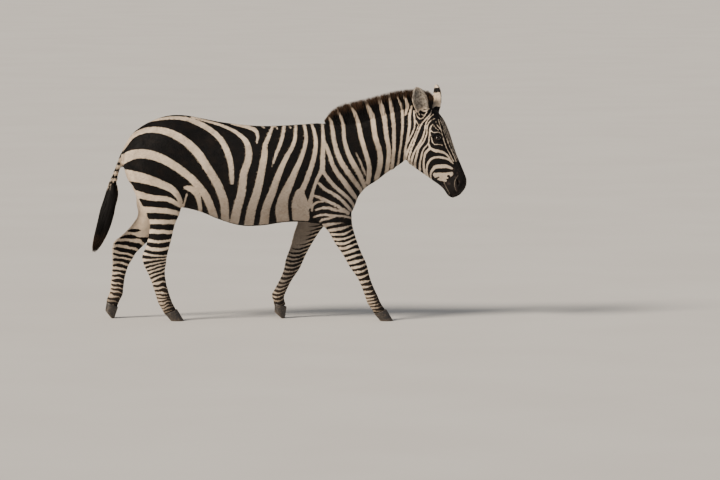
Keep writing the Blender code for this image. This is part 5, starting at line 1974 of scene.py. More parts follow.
@dataclass(frozen=True)
class Lie:
    """How the hair lies, and an unwrap of the skin round the body's own middle lines."""

    trunk_radius: float = 0.22  # radii that turn an angle round a middle line into a distance
    neck_radius: float = 0.13
    head_radius: float = 0.08
    leg_radius: float = 0.045
    stray: float = 0.16  # how far the hair strays from its lie, as a share of its length
    margin: float = 0.01  # bare edge of each part's rectangle, as a share of its sides
    leg_reach: float = 0.17  # a leg's part ends this far ahead of its line and behind it
    leg_tops: Pair = (0.60, 0.66)  # the tops of the fore and hind legs' parts
    head_above: float = 0.72  # the head's part is above this
    dock_corner: Pair = (-1.0, 0.76)  # the tail dock's is behind the first and above the second

    def parts(self, points: Array) -> Array:
        """Which part of the skin each place is on, by the part's number.

        Args:
            points: places, one to a row.

        Returns:
            One number for each place.
        """
        x, y, z = points.T
        found = np.zeros(len(points), int)
        found[past_shoulder(x, z) > 0] = Part.NECK.number
        for leg, part in zip(LEGS, LEG_PARTS):
            near = (y * leg.side > 0) & (np.abs(x - leg_line(leg, z)) < self.leg_reach)
            top = self.leg_tops[leg.name.startswith("hind")]
            found[near & (z < top)] = part.number
        found[(past_throat(x, z) > 0) & (z > self.head_above)] = Part.HEAD.number
        for ear, part in zip(EARS, EAR_PARTS):
            local = ear.local(points)
            found[(local[:, 2] > 0.04) & ear.holds(local)] = part.number
        found[(x < self.dock_corner[0]) & (z > self.dock_corner[1])] = Part.DOCK.number
        return found

    def rolled(self, points: Array, part: Part) -> tuple[Array, Array]:
        """For places on one part, the angle round its middle line and the share along it.

        The angle is the arc tangent of the sideways distance over the distance above the line.

        Args:
            points: places, one to a row.
            part: the part that they are all on.

        Returns:
            The angles and shares.
        """
        x, y, z = points.T
        if part in LEG_PARTS:
            leg = LEGS[LEG_PARTS.index(part)]
            return np.arctan2(y - leg.joints[2][1], x - leg_line(leg, z)), 1 - z / 0.72
        if part in EAR_PARTS:
            local = EARS[EAR_PARTS.index(part)].local(points)
            return np.arctan2(local[:, 0], local[:, 1] - 0.012), local[:, 2] / 0.21
        if part is Part.DOCK:
            return np.arctan2(y, x + 1.03 + 0.15 * (0.95 - z)), (1.13 - z) / 0.36
        start, end = (np.array(place) for place in MIDDLE_LINES[part])
        along = unit(end - start)
        off = (turned(points, back=True) if part is Part.HEAD else points) - start
        angle = np.arctan2(off[:, 1], off @ np.array([-along[2], 0.0, along[0]]))
        return angle, off @ along / np.linalg.norm(end - start)

    def unwrap(self, points: Array) -> Array:
        """Each place's spot on the unwrap, in the unit square.

        Args:
            points: places, one to a row.

        Returns:
            Two numbers from 0 to 1 for each place.
        """
        numbers = self.parts(points)
        spots = np.zeros((len(points), 2))
        for part in Part:
            here = numbers == part.number
            if here.any():
                angle, share = self.rolled(points[here], part)
                across = np.clip(angle / (2 * math.pi) + 0.5, self.margin, 1 - self.margin)
                along = np.clip(0.06 + 0.88 * share, self.margin, 1 - self.margin)
                box = np.array(part.value)
                spots[here] = box[:2] + box[2:] * np.stack([across, along], axis=1)
        return spots

    def weights(self, points: Array) -> tuple[Array, Array, Array]:
        """How much each place belongs to the neck, head and legs, softly.

        Args:
            points: places, one to a row.

        Returns:
            The three shares, from 0 to 1.
        """
        x, _, z = points.T
        neck = smooth(past_shoulder(x, z), -0.06, 0.06)
        head = smooth(past_throat(x, z), -0.02, 0.03) * smooth(z, *CHIN_HEIGHTS)
        leg = (1 - smooth(z, 0.56, 0.74)) * (1 - smooth(x, 0.75, 0.80))
        return neck * (1 - head), head, leg * (1 - head)

    def coordinates(self, points: Array) -> Array:
        """Across and along the hair in metres, joined smoothly from part to part.

        Across is a radius times the angle round the part's middle line, and along is the
        distance down that line, both with a set start on each part.

        Args:
            points: places, one to a row.

        Returns:
            Across, along and zero for each place.
        """
        x, y, z = points.T
        neck, head, leg = self.weights(points)
        ahead, above = x - 0.38, z - 0.98  # from the foot of the neck's middle line
        across = self.trunk_radius * np.arctan2(np.abs(y), z - 0.95)
        neck_across = self.neck_radius * np.arctan2(np.abs(y), ahead * -0.49 + above * 0.87) + 0.05
        across = across + neck * (neck_across - across)
        along = x + neck * (0.3 + ahead * 0.87 + above * 0.49 - x)
        straight = turned(points, back=True)
        ahead, above = straight[:, 0] - 0.88, straight[:, 2] - 1.24  # and of the head's
        turn = np.arctan2(np.abs(straight[:, 1]), ahead * 0.83 + above * 0.55)
        across = across + head * (self.head_radius * turn + 0.1 - across)
        along = along + head * (0.9 + ahead * 0.55 - above * 0.83 - along)
        for part in LEGS:
            here = leg * (y * part.side > 0) * (np.abs(x - part.joints[1][0]) < 0.48)
            turn = np.arctan2(np.abs(y - part.joints[2][1]), x - leg_line(part, z))
            across = across + here * (self.leg_radius * turn + 0.2 - across)
            along = along + here * (part.joints[1][0] + 0.68 - z - along)
        return np.stack([across, along, np.zeros(len(points))], axis=1)

    def direction(self, points: Array, normals: Array) -> Array:
        """The way the hair's tips point, lying in the skin: back along the trunk, down the neck
        and legs, up the face from the nose, and out along the ears.

        Args:
            points: places, one to a row.
            normals: the way out of the skin at each place.

        Returns:
            Directions of length one.
        """
        x, _, z = points.T
        way = np.tile([-1.0, 0.0, -0.28], (len(points), 1))
        ways = ((-0.62, 0.0, -0.78), turned_ways(np.array([-0.62, 0.0, 0.62])), (0.04, 0.0, -1.0))
        for weight, wanted in zip(self.weights(points), ways):
            way = way + weight[:, None] * (np.array(wanted) - way)
        for ear, part in zip(EARS, EAR_PARTS):
            way[self.parts(points) == part.number] = ear.frame()[:3, 2]
        way[(x < -0.985) & (z > 0.76)] = (-0.25, 0.0, -0.97)  # the tail's dock
        noise = [lattice_noise(points, 0.09, seed) for seed in (41, 42, 43)]
        way = way + self.stray * np.stack(noise, axis=1)
        return unit(way - normals * (way * normals).sum(axis=1)[:, None])


# ---------------------------------------------------------------- hair as solid tufts and locks
PATCH = 0.003  # a tuft's own patch on the unwrap
TUFT_SUNK = 0.0006  # how far under the skin a tuft starts
EYE_CLEAR, CROWN_CLEAR = 0.024, 0.030  # no tufts are sown this near an eye or a hoof's crown


def blades(paths: Array, facing: Array, wide: Array, thick: Array, patches: Array,
           fields: dict[str, Array], fullness: float = 0.7) -> Surface:
    """Closed tapering blades along paths.

    At each station but the last the blade has three points: two at its edges, half its breadth
    to each side of the path, and one raised by its thickness along the way it faces. The
    breadth runs from `fullness` at the root through one to nothing at the tip, which is a point.

    Args:
        paths: places along each blade, as [blade, station, xyz].
        facing: the way each blade's back faces.
        wide: each blade's breadth.
        thick: each blade's thickness.
        patches: each root's place on the skin's unwrap.
        fields: numbers for each blade, or for each blade and station.
        fullness: the breadth at the root as a share of the greatest.

    Returns:
        All the blades as one surface, facing outwards.
    """
    count, stations = paths.shape[:2]
    share = np.linspace(0.0, 1.0, stations)
    shape = fullness + (1 - fullness) * np.sin(np.pi * np.minimum(share * 1.2, 0.5))
    shape = shape * (1 - share**2.2)
    ahead = unit(np.gradient(paths, axis=1))
    side = unit(np.cross(ahead, facing[:, None, :]))
    back = np.cross(side, ahead)
    breadth = (wide[:, None] * shape)[..., None]
    depth = (thick[:, None] * np.sqrt(shape))[..., None]
    rings = np.stack([paths + side * breadth / 2, paths - side * breadth / 2, paths + back * depth], 2)
    body = rings[:, :-1].reshape(count, -1, 3)
    points = np.concatenate([body, paths[:, -1:]], axis=1)
    each = points.shape[1]
    low = np.arange(stations - 2)[:, None] * 3 + np.arange(3)[None, :]
    turn = np.arange(stations - 2)[:, None] * 3 + np.roll(np.arange(3), -1)[None, :]
    quads = np.stack([low, low + 3, turn + 3, turn], axis=2).reshape(-1, 4)
    top = (stations - 2) * 3
    tips = np.array([[top, each - 1, top + 1], [top + 1, each - 1, top + 2], [top + 2, each - 1, top]])
    cap = np.array([[0, 1, 2]])
    starts = (np.arange(count) * each)[:, None, None]
    faces = [(rows[None] + starts).reshape(-1, rows.shape[1]) for rows in (quads, tips, cap)]
    along = np.concatenate([np.repeat(share[:-1], 3), [1.0]])
    across = np.concatenate([np.tile([-1.0, 1.0, 0.0], stations - 1), [0.0]])
    made = {"tip": np.tile(along, count)}
    for label, values in fields.items():
        if values.ndim == 2 and values.shape[1] == stations:
            spread = np.concatenate([np.repeat(values[:, :-1], 3, axis=1), values[:, -1:]], axis=1)
            made[label] = spread.ravel()
        else:
            made[label] = np.repeat(values, each, axis=0)
    spot = patches[:, None, :] + PATCH / 2 * np.stack([across, along * 2 - 1], axis=1)[None]
    surface = Surface(points.reshape(-1, 3), faces, made, spot.reshape(-1, 2))
    corner = surface.points[faces[2]]
    normal = np.cross(corner[:, 1] - corner[:, 0], corner[:, 2] - corner[:, 0])
    if (normal * (paths[:, 1] - paths[:, 0])).sum(axis=1).mean() > 0:
        surface.faces = [rows[:, ::-1] for rows in surface.faces]
    return surface


@dataclass(frozen=True)
class Sowing:
    """How one stretch of the skin is sown with short tufts."""

    parts: tuple[Part, ...]  # the parts of the skin
    count: int  # how many tufts
    length: Pair  # the shortest and the longest
    wide: float  # their breadth
    lift: float  # how far their tips stand off the skin
    seed: int  # which random numbers
    reach: Pair = (-2.0, 2.0)  # how far back and forward they are sown


TRUNK_TUFTS = ((Part.TRUNK,), 18500, (0.008, 0.013), 0.0024, 0.0015)
COAT = {  # the short coat's pieces, none of which may hold too many triangles
    "coat_trunk_1": (Sowing(*TRUNK_TUFTS, 1, (-2.0, -0.62)),),
    "coat_trunk_2": (Sowing(*TRUNK_TUFTS, 2, (-0.62, -0.10)),),
    "coat_trunk_3": (Sowing(*TRUNK_TUFTS, 3, (-0.10, 2.0)),),
    "coat_neck": (Sowing((Part.NECK,), 17500, (0.008, 0.013), 0.0022, 0.0015, 4),
                  Sowing((Part.DOCK,), 900, (0.014, 0.024), 0.0024, 0.0030, 5)),
    "coat_head": (Sowing((Part.HEAD,), 14000, (0.0035, 0.0065), 0.0013, 0.0009, 6),
                  Sowing(EAR_PARTS, 2600, (0.005, 0.009), 0.0014, 0.0011, 7)),
    "coat_legs": (Sowing(LEG_PARTS, 18500, (0.005, 0.009), 0.0017, 0.0012, 8),),
}


@dataclass
class CoatTufts:
    """Short tufts rooted all over the skin, thickest where hair breaks the outline."""

    mesh: bpy.types.Mesh  # the skin
    lie: Lie
    seed: int = 7
    stray: float = 0.13  # how far single tufts stray from the lie, as a share of their length
    thick: float = 0.22  # a tuft's thickness as a share of its breadth
    corners: Array = field(init=False)  # of each of the skin's triangles
    areas: Array = field(init=False)
    facing: Array = field(init=False)
    centres: Array = field(init=False)
    parts: Array = field(init=False)
    points: Array = field(init=False)  # of the skin, and the normals and fields there
    normals: Array = field(init=False)
    fields: dict[str, Array] = field(init=False)

    def __post_init__(self) -> None:
        """Reads the skin's triangles, normals and fields."""
        self.mesh.calc_loop_triangles()
        count = len(self.mesh.loop_triangles)
        corners = np.empty(count * 3, np.int32)
        self.mesh.loop_triangles.foreach_get("vertices", corners)
        self.corners = corners.reshape(-1, 3)
        self.points, self.normals = mesh_points(self.mesh), mesh_normals(self.mesh)
        self.fields = {}
        for label in ("stripe", "phase", "pitch", "band", "bias", "dark", "grey", "hollow", "lay"):
            layer = self.mesh.attributes[label]
            width = 3 if layer.data_type == "FLOAT_VECTOR" else 1
            values = np.empty(len(self.points) * width, np.float32)
            layer.data.foreach_get("vector" if width == 3 else "value", values)
            self.fields[label] = values.reshape(-1, 3) if width == 3 else values
        spots = self.points[self.corners]
        square = np.cross(spots[:, 1] - spots[:, 0], spots[:, 2] - spots[:, 0])
        self.areas = np.linalg.norm(square, axis=1) / 2
        self.facing = unit(square)
        self.centres = spots.mean(axis=1)
        self.parts = self.lie.parts(self.centres)

    def roots(self, weights: Array, count: int, seed: int) -> tuple[Array, Array, dict[str, Array]]:
        """Random places on the skin, with the skin's normals and fields there.

        Args:
            weights: how thickly each triangle is sown.
            count: how many places.
            seed: which random numbers.

        Returns:
            The places, their normals and their fields.
        """
        random = np.random.default_rng(self.seed * 100 + seed)
        chance = self.areas * weights
        chosen = self.corners[random.choice(len(chance), count, p=chance / chance.sum())]
        first, second = random.random((2, count))
        fold = first + second > 1
        first, second = np.where(fold, 1 - first, first), np.where(fold, 1 - second, second)
        share = np.stack([1 - first - second, first, second], axis=1)

        def blend(values: Array) -> Array:
            """Values at the corners mixed by where the place is in its triangle."""
            picked = values[chosen]
            return (picked * share[(...,) + (None,) * (picked.ndim - 2)]).sum(axis=1)

        fields = {label: blend(values) for label, values in self.fields.items()}
        return blend(self.points), unit(blend(self.normals)), fields

    def exposed(self) -> Array:
        """How thickly each triangle is sown: more where the skin turns away from the sides, as
        along the back and belly, and hardly at all on the front of the face, whose lines are
        finer than a tuft."""
        edge = 1 - smooth(np.abs(self.facing[:, 1]), 0.15, 0.60)
        brow = (self.centres[:, 0] > 0.80) * Markings.face_front(self.centres, self.facing)
        return (1.0 + 1.6 * edge) * (1 - 0.95 * brow)

    def tufts(self, sown: Sowing) -> Surface:
        """Short tufts on some parts of the skin.

        Each runs from just under the skin along the hair's lie and rises by the lift to its tip.

        Args:
            sown: which parts, how many and what size.

        Returns:
            All of them as one surface.
        """
        random = np.random.default_rng(self.seed * 1000 + sown.seed)
        count, x = sown.count, self.centres[:, 0]
        weights = self.exposed() * np.isin(self.parts, [part.number for part in sown.parts])
        weights = weights * (x > sown.reach[0]) * (x <= sown.reach[1])
        bare = [(turned(on_side(EYE_PLACE, side)), EYE_CLEAR) for side, _ in SIDES]
        bare += [(np.array(leg.joints[-1]), CROWN_CLEAR) for leg in LEGS]
        for place, clear in bare:
            weights = weights * (np.linalg.norm(self.centres - place, axis=1) > clear)
        roots, normals, fields = self.roots(weights, count, sown.seed)
        way = self.lie.direction(roots, normals)
        way = unit(way + self.stray * random.normal(size=way.shape))
        way = unit(way - normals * (way * normals).sum(axis=1)[:, None])
        long = drawn(random, count, sown.length)
        rise = sown.lift * (0.55 + 0.6 * random.random(count))
        steps = np.array([0.0, 0.55, 1.0])
        heights = np.array([-TUFT_SUNK, 0.0, 0.0]) + rise[:, None] * np.array([0.0, 0.75, 1.0])
        paths = roots[:, None] + way[:, None] * (long[:, None] * steps)[..., None]
        paths = paths + normals[:, None] * heights[..., None]
        breadth = sown.wide * (0.75 + 0.5 * random.random(count))
        return blades(paths, normals, breadth, breadth * self.thick, self.lie.unwrap(roots), fields)


@dataclass(frozen=True)
class Mane:
    """The erect mane: locks from the crest to its ragged dark tips, turning with the head."""

    lie: Lie
    marks: Markings
    count: int = 5200
    stations: int = 7
    seed: int = 21
    edging: float = 0.22  # the share of locks that are short and overlap the skin by the crest
    breadth: Pair = (0.0042, 0.0072)
    thick: float = 0.42  # a lock's thickness as a share of its breadth
    wave: float = 0.010  # how far a lock's tip strays along the mane, as a share of its length
    clump: float = 0.006  # and how far neighbours draw together
    tip_white: float = 0.009  # how much narrower the white is at the tips, in metres

    def place(self, along: Array, height: Array, side: Array) -> Array:
        """Places in the mane: eased between its foot and its top line at each share along it.

        Args:
            along: the share along the mane, from the withers to the forelock.
            height: the share from its foot to its top line.
            side: from its right face, -1, to its left, 1.

        Returns:
            The places, with the head's turn.
        """
        rows = MANE.rows(0.006)
        row = between_rows(rows, along * (len(rows) - 1))
        flat = row[..., 2:4] + (row[..., 0:2] - row[..., 2:4]) * height[..., None]
        points = np.stack([flat[..., 0], side * row[..., 4], flat[..., 1]], axis=-1)
        return turned(points, np.clip((points[..., 0] - 0.80) / 0.12, 0.0, 1.0))

    def build(self) -> Surface:
        """All the locks, with how white each is along its length.

        Returns:
            All the locks as one surface.
        """
        random = np.random.default_rng(self.seed)
        count = self.count
        along = np.clip(0.02 + 0.975 * random.random(count), 0.0, 1.0)
        side = np.clip(random.normal(0.0, 0.42, count), -0.85, 0.85)
        edge = random.random(count) < self.edging
        side = np.where(edge, np.sign(side) * (0.98 + 0.30 * random.random(count)), side)
        foot = np.where(edge, -0.10 + 0.16 * random.random(count), 0.10)[:, None]
        share = np.linspace(0.0, 1.0, self.stations)[None, :]
        # Locks along the middle reach the top line, and those beside it end a little lower.
        ends = 0.92 + 0.15 * random.random(count) - 0.14 * np.abs(side) ** 1.5
        ends = np.minimum(ends + 0.05 * np.sin(along * 210.0) * random.random(count), 1.06)
        ends = ends * (0.78 + 0.22 * smooth(along, 0.0, 0.08))
        ends = np.where(edge, 0.30 + 0.40 * random.random(count), ends)
        height = foot + (ends[:, None] - foot) * share
        wave = self.wave * random.normal(size=(count, 1)) * share**1.5
        clump = self.clump * np.sin(along * 95.0)[:, None] * share
        lean = (wave + clump) / 0.72
        spread = np.where(edge, 1.0 - 0.35 * share.T, 0.75 + 0.30 * share.T).T
        sway = side[:, None] * spread + 0.16 * random.normal(size=(count, 1)) * share
        paths = self.place(np.clip(along[:, None] + lean, 0, 1), height, np.clip(sway, -1.3, 1.3))
        view = self.marks.side_view(paths.reshape(-1, 3))
        stripe = inked(view, NECK_STROKES + SHOULDER_STROKES).reshape(count, -1)
        stripe = stripe - self.tip_white * height**2
        wide = drawn(random, count, self.breadth)
        facing = np.tile([0.0, 1.0, 0.0], (count, 1)) * np.where(side < 0, -1.0, 1.0)[:, None]
        facing = unit(facing + 0.5 * random.normal(size=(count, 3)) * [1, 0.2, 0.2])
        tone = random.random(count)
        fields = {"stripe": stripe, "height": height, "tone": tone}
        patches = self.lie.unwrap(paths[:, 0])
        return blades(paths, facing, wide, wide * self.thick, patches, fields)


@dataclass(frozen=True)
class TailHair:
    """The tail's tuft: long locks that hang from the lower dock and fill the tuft's form."""

    lie: Lie
    count: int = 1500
    stations: int = 12
    seed: int = 33
    breadth: Pair = (0.0050, 0.0090)
    thick: float = 0.40  # a lock's thickness as a share of its breadth
    pale: float = 0.12  # the share of locks that start white

    def build(self) -> Surface:
        """Locks at constant shares of the tuft's depth and breadth, drawn together at its end.

        Returns:
            All the locks as one surface.
        """
        random = np.random.default_rng(self.seed)
        count = self.count
        rows = TUFT.rows(0.01)
        start = 0.10 * random.random(count)
        end = 0.62 + 0.38 * random.random(count) ** 0.6
        angle, reach = random.random(count) * 2 * math.pi, np.sqrt(random.random(count)) * 0.93
        share = np.linspace(0.0, 1.0, self.stations)[None, :]
        spot = (start[:, None] + (end - start)[:, None] * share) * (len(rows) - 1)
        row = between_rows(rows, spot)
        middle = (row[..., 0:2] + row[..., 2:4]) / 2
        depth = (row[..., 0:2] - row[..., 2:4]) / 2
        wander = 1.0 + 0.16 * np.sin(share * 5.0 + angle[:, None] * 3)
        flat = middle + depth * (np.cos(angle) * reach)[:, None, None] * wander[..., None]
        across = row[..., 4] * (np.sin(angle) * reach)[:, None] * wander
        paths = np.stack([flat[..., 0], across, flat[..., 1]], axis=-1)
        facing = np.stack([np.cos(angle) * -0.97, np.sin(angle), np.cos(angle) * 0.2], axis=1)
        wide = drawn(random, count, self.breadth)
        height = spot / len(rows)
        fields = {"tone": random.random(count), "height": height}
        fields["stripe"] = np.where(random.random(count)[:, None] < self.pale, 0.010, -0.012)
        fields["stripe"] = fields["stripe"] - 0.03 * smooth(height, 0.06, 0.16)
        patches = self.lie.unwrap(paths[:, 0])
        return blades(paths, unit(facing), wide, wide * self.thick, patches, fields, fullness=0.5)


@dataclass(frozen=True)
class FineHair:
    """Hair inside the ears, and lashes over the eyes."""

    lie: Lie
    seed: int = 51
    ear_count: int = 620  # in each ear
    lash_count: int = 34  # over each eye
    lash_breadth: float = 0.0009

    def ears(self) -> Surface:
        """Pale tufts along the edges and floor of each ear's hollow, pointing to its tip.

        Returns:
            The hair of both ears.
        """
        made = []
        for index, ear in enumerate(EARS):
            random = np.random.default_rng(self.seed + index)
            count = self.ear_count
            along = 0.30 + 0.58 * random.random(count)
            edge = np.where(random.random(count) < 0.62, 1.0, 0.0)
            sign = np.where(random.random(count) < 0.5, -1.0, 1.0)
            at_edge, at_floor = 0.86 + 0.12 * random.random(count), 0.7 * random.random(count)
            across = sign * (edge * at_edge + (1 - edge) * at_floor)
            long = 0.08 + 0.07 * random.random(count)
            share = np.linspace(0.0, 1.0, 4)[None, :]
            rise = 0.004 + (0.003 + 0.008 * random.random(count))[:, None] * share
            paths = ear.leaf(np.clip(along[:, None] + long[:, None] * share, 0, 0.985),
                             across[:, None] * (1 - 0.30 * share * edge[:, None]), rise)
            inward = ear.leaf(along, across, 0.01) - ear.leaf(along, across)
            wide = 0.0020 + 0.0012 * random.random(count)
            fields = {"tone": random.random(count), "height": np.zeros(count),
                      "stripe": np.where(random.random(count) < 0.72, 0.01, -0.01)}
            patches = self.lie.unwrap(paths[:, 0])
            made.append(blades(paths, unit(inward), wide, wide * 0.35, patches, fields))
        return joined(made)

    def lashes(self) -> Surface:
        """Lashes on the upper lids' edges, curving out and down.

        Returns:
            The lashes of both eyes.
        """
        made = []
        for side, _ in SIDES:
            random = np.random.default_rng(self.seed + 5 + side)
            opening = EyeOpening()
            frame = opening.frame(side)
            count = self.lash_count
            along = np.linspace(-0.9, 0.85, count) * opening.half_length
            up = opening.upper * (1 - np.abs(along / opening.half_length) ** 2.1) + 0.0006
            out = np.sqrt((opening.radius + opening.lid) ** 2 - along**2 - up**2) - 0.0010
            share = np.linspace(0.0, 1.0, 5)[None, :]
            long = (0.011 + 0.004 * random.random(count))[:, None] * share
            local = np.stack([along[:, None] * (1 + 0.35 * share), up[:, None] - 0.25 * long,
                              out[:, None] + long * 0.95], axis=-1)
            paths = turned(frame.world(local.reshape(-1, 3)).reshape(local.shape))
            facing = np.tile(turned_ways(frame.up), (count, 1))
            wide = np.full(count, self.lash_breadth)
            fields = {"tone": random.random(count), "height": np.ones(count),
                      "stripe": np.full(count, -0.01)}
            patches = self.lie.unwrap(paths[:, 0])
            made.append(blades(paths, facing, wide, wide * 0.7, patches, fields))
        return joined(made)


# ---------------------------------------------------------------- eyes and hooves
@dataclass(frozen=True)
class Eye:
    """A dark wet eye with a bulging front and a level oval pupil."""

    side: int  # 1 for the left and -1 for the right
    bulge: float = 0.0014
    pupil_length: float = 1.7  # the pupil's length as a share of its height
    slack: float = 0.0004  # how much smaller the ball is than the socket

    def build(self) -> Surface:
        """A ball whose radius grows by `bulge` times a bell curve of the angle from its front.

        Returns:
            The ball, with the distances that its iris and pupil are drawn by.
        """
        frame = EyeOpening().frame(self.side)
        out = np.linspace(0.03, math.pi - 0.03, 40)[:, None]
        turn = np.linspace(0, 2 * math.pi, 56, endpoint=False)[None, :]
        radius = EYE_RADIUS - self.slack + self.bulge * bell(out, 0.55)
        local = np.stack([radius * np.sin(out) * np.cos(turn), radius * np.sin(out) * np.sin(turn),
                          radius * np.cos(out) + 0 * turn], axis=2)
        made = tube(turned(frame.world(local.reshape(-1, 3)).reshape(local.shape)))
        flat = np.concatenate([local.reshape(-1, 3), local[0].mean(0)[None], local[-1].mean(0)[None]])
        behind = 0.05 * (flat[:, 2] < 0)  # keeps both from the back of the ball
        made.fields["iris"] = np.hypot(flat[:, 0], flat[:, 1]) + behind
        made.fields["pupil"] = np.hypot(flat[:, 0] / self.pupil_length, flat[:, 1]) + behind
        return made


@dataclass(frozen=True)
class EyeFinish:
    """A brown iris that is almost black, a black pupil and a dark white of the eye, all wet."""

    iris: Colour = (0.016, 0.008, 0.004)
    fibres: Colour = (0.045, 0.022, 0.010)
    pupil: Colour = (0.002, 0.002, 0.0025)
    white: Colour = (0.030, 0.018, 0.012)
    pupil_edge: Pair = (0.0048, 0.0056)  # soft edges, by the distance from the eye's axis
    iris_edge: Pair = (0.0150, 0.0172)

    def material(self) -> bpy.types.Material:
        """Rings round the eye's axis, with fine fibres in the iris.

        Returns:
            The material.
        """
        graph = Graph("eye")
        iris = graph.mix(graph.patches(graph.places(), 420.0, 3.0, 0.3, 0.7), self.iris, self.fibres)
        shade = graph.mix(graph.ramp(graph.attribute("pupil"), *self.pupil_edge), self.pupil, iris)
        shade = graph.mix(graph.ramp(graph.attribute("iris"), *self.iris_edge), shade, self.white)
        return graph.finish(Base_Color=shade, Roughness=0.10, Specular_IOR_Level=0.3,
                            Coat_Weight=0.25, Coat_Roughness=0.03)


@dataclass(frozen=True)
class Hoof:
    """A hoof: a sloping horny wall, round heels and a level sole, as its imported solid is."""

    leg: Leg
    slope: float = math.radians(24.0)
    crown: Pair = (0.039, 0.0375)  # half depth and breadth at the hair line
    height: float = 0.059
    reach: float = 0.041  # the sole's middle is this far ahead of the crown's
    sole: Pair = (0.044, 0.042)

    def build(self) -> Surface:
        """Ellipses from the sole up to the slanting crown.

        Each ring lies between the two by its share of the way up, with a shallow cleft at the
        heels and faint growth rings, and what lies under the floor is pressed level with it.

        Returns:
            The hoof, with the share of the way up at each point.
        """
        angle = np.linspace(0.0, 2 * math.pi, 72, endpoint=False)[None, :]
        ahead, side = np.cos(angle), np.sin(angle)
        wall = np.linspace(0.08, 0.94, 14)
        share = np.concatenate([[0.0, 0.0, 0.02, 0.05], wall, [0.97, 1.0, 1.0]])[:, None]
        inset = np.concatenate([[0.0, 0.90, 0.972, 0.995], np.ones(14), [0.985, 0.95, 0.0]])[:, None]
        cleft = 1 - 0.10 * bell(angle - math.pi, 0.30)
        low = np.stack([self.reach + self.sole[0] * ahead * cleft, self.sole[1] * side,
                        -self.height + 0 * angle], axis=-1)
        high = np.stack([self.crown[0] * ahead * cleft, self.crown[1] * side,
                         self.crown[0] * ahead * math.tan(self.slope)], axis=-1)
        points = low + (high - low) * share[..., None]
        middle = points.mean(axis=1, keepdims=True)
        rim = 0.0006 * np.sin(share * 46.0) * (share < 0.93)
        points = middle + (points - middle) * (inset * (0.988 + rim / 0.04))[..., None]
        points = pitched(points, self.leg.tip) + np.array(self.leg.joints[-1])
        points[..., 2] = np.maximum(points[..., 2], 0.0)
        made = tube(points)
        along = np.repeat(share[:, 0], angle.shape[1])
        made.fields["up"] = np.concatenate([along, [0.0, 1.0]])
        return made


@dataclass(frozen=True)
class HornFinish:
    """Dark grey horn with growth rings, scuffs, and dust low down."""

    dark: Colour = (0.016, 0.014, 0.013)
    pale: Colour = (0.042, 0.034, 0.028)
    dust: Colour = (0.16, 0.12, 0.085)
    scuffed: float = 0.45  # how worn the scuffs are
    dusty: Pair = (0.30, 0.35)  # the share of the wall that dust reaches, and how much there is

    def material(self) -> bpy.types.Material:
        """The rings are drawn by the share of the way up the wall.

        Returns:
            The material.
        """
        graph = Graph("hoof_horn")
        up = graph.attribute("up")
        rings = graph.noise(up, 26.0, 3.0)
        tone = graph.mix(graph.ramp(rings, 0.3, 0.7), self.dark, self.pale)
        worn = graph.times(graph.patches(graph.places(), 90.0, 4.0, 0.48, 0.72), self.scuffed)
        low = graph.ramp(up, self.dusty[0], 0.0, 0.0, self.dusty[1])
        dust = graph.math("ADD", worn, low, clamp=True)
        return graph.finish(
            Base_Color=graph.mix(dust, tone, self.dust),
            Roughness=graph.ramp(worn, 0.0, self.scuffed, 0.42, 0.75),
            Normal=graph.bump(rings, 0.0012, 0.8))


@dataclass(frozen=True)
class LongHairFinish:
    """Mane, tail and ear hair: white or dark locks with brown tips."""

    white: Colour = (0.66, 0.54, 0.42)
    black: Colour = (0.0055, 0.0046, 0.0044)
    brown: Colour = (0.085, 0.045, 0.024)
    cream: Colour = (0.50, 0.39, 0.29)  # the white's darker tone
    strands: Triple = (900.0, 900.0, 60.0)  # streaks of tone in a metre, along each axis
    tips_from: float = 0.62  # where the tips' brown starts, as a share of the hair's height
    name: str = "mane_hair"
    pale_tips: float = 0.10  # how much of the white is left at the tips

    def material(self) -> bpy.types.Material:
        """Strands run along each lock as fine streaks of tone.

        Returns:
            The material.
        """
        graph = Graph(self.name)
        tone = graph.attribute("tone")
        white = graph.ramp(graph.centred(tone, 0.005, graph.attribute("stripe")), -0.0015, 0.0015)
        height = graph.centred(tone, 0.22, graph.attribute("height"))
        tips = graph.ramp(height, self.tips_from, self.tips_from + 0.16)
        dark = graph.mix(graph.times(tips, graph.ramp(tone, 0.15, 0.8)), self.black, self.brown)
        white = graph.times(white, graph.ramp(tips, 0.0, 1.0, 1.0, self.pale_tips))
        shade = graph.mix(white, dark, graph.mix(graph.times(tone, 0.5), self.white, self.cream))
        streak = graph.ramp(graph.streaks(graph.places(), self.strands), 0.2, 0.8, 0.78, 1.22)
        shade = graph.tinted(shade, streak)
        return graph.finish(Base_Color=shade, Roughness=0.50, Specular_IOR_Level=0.16)


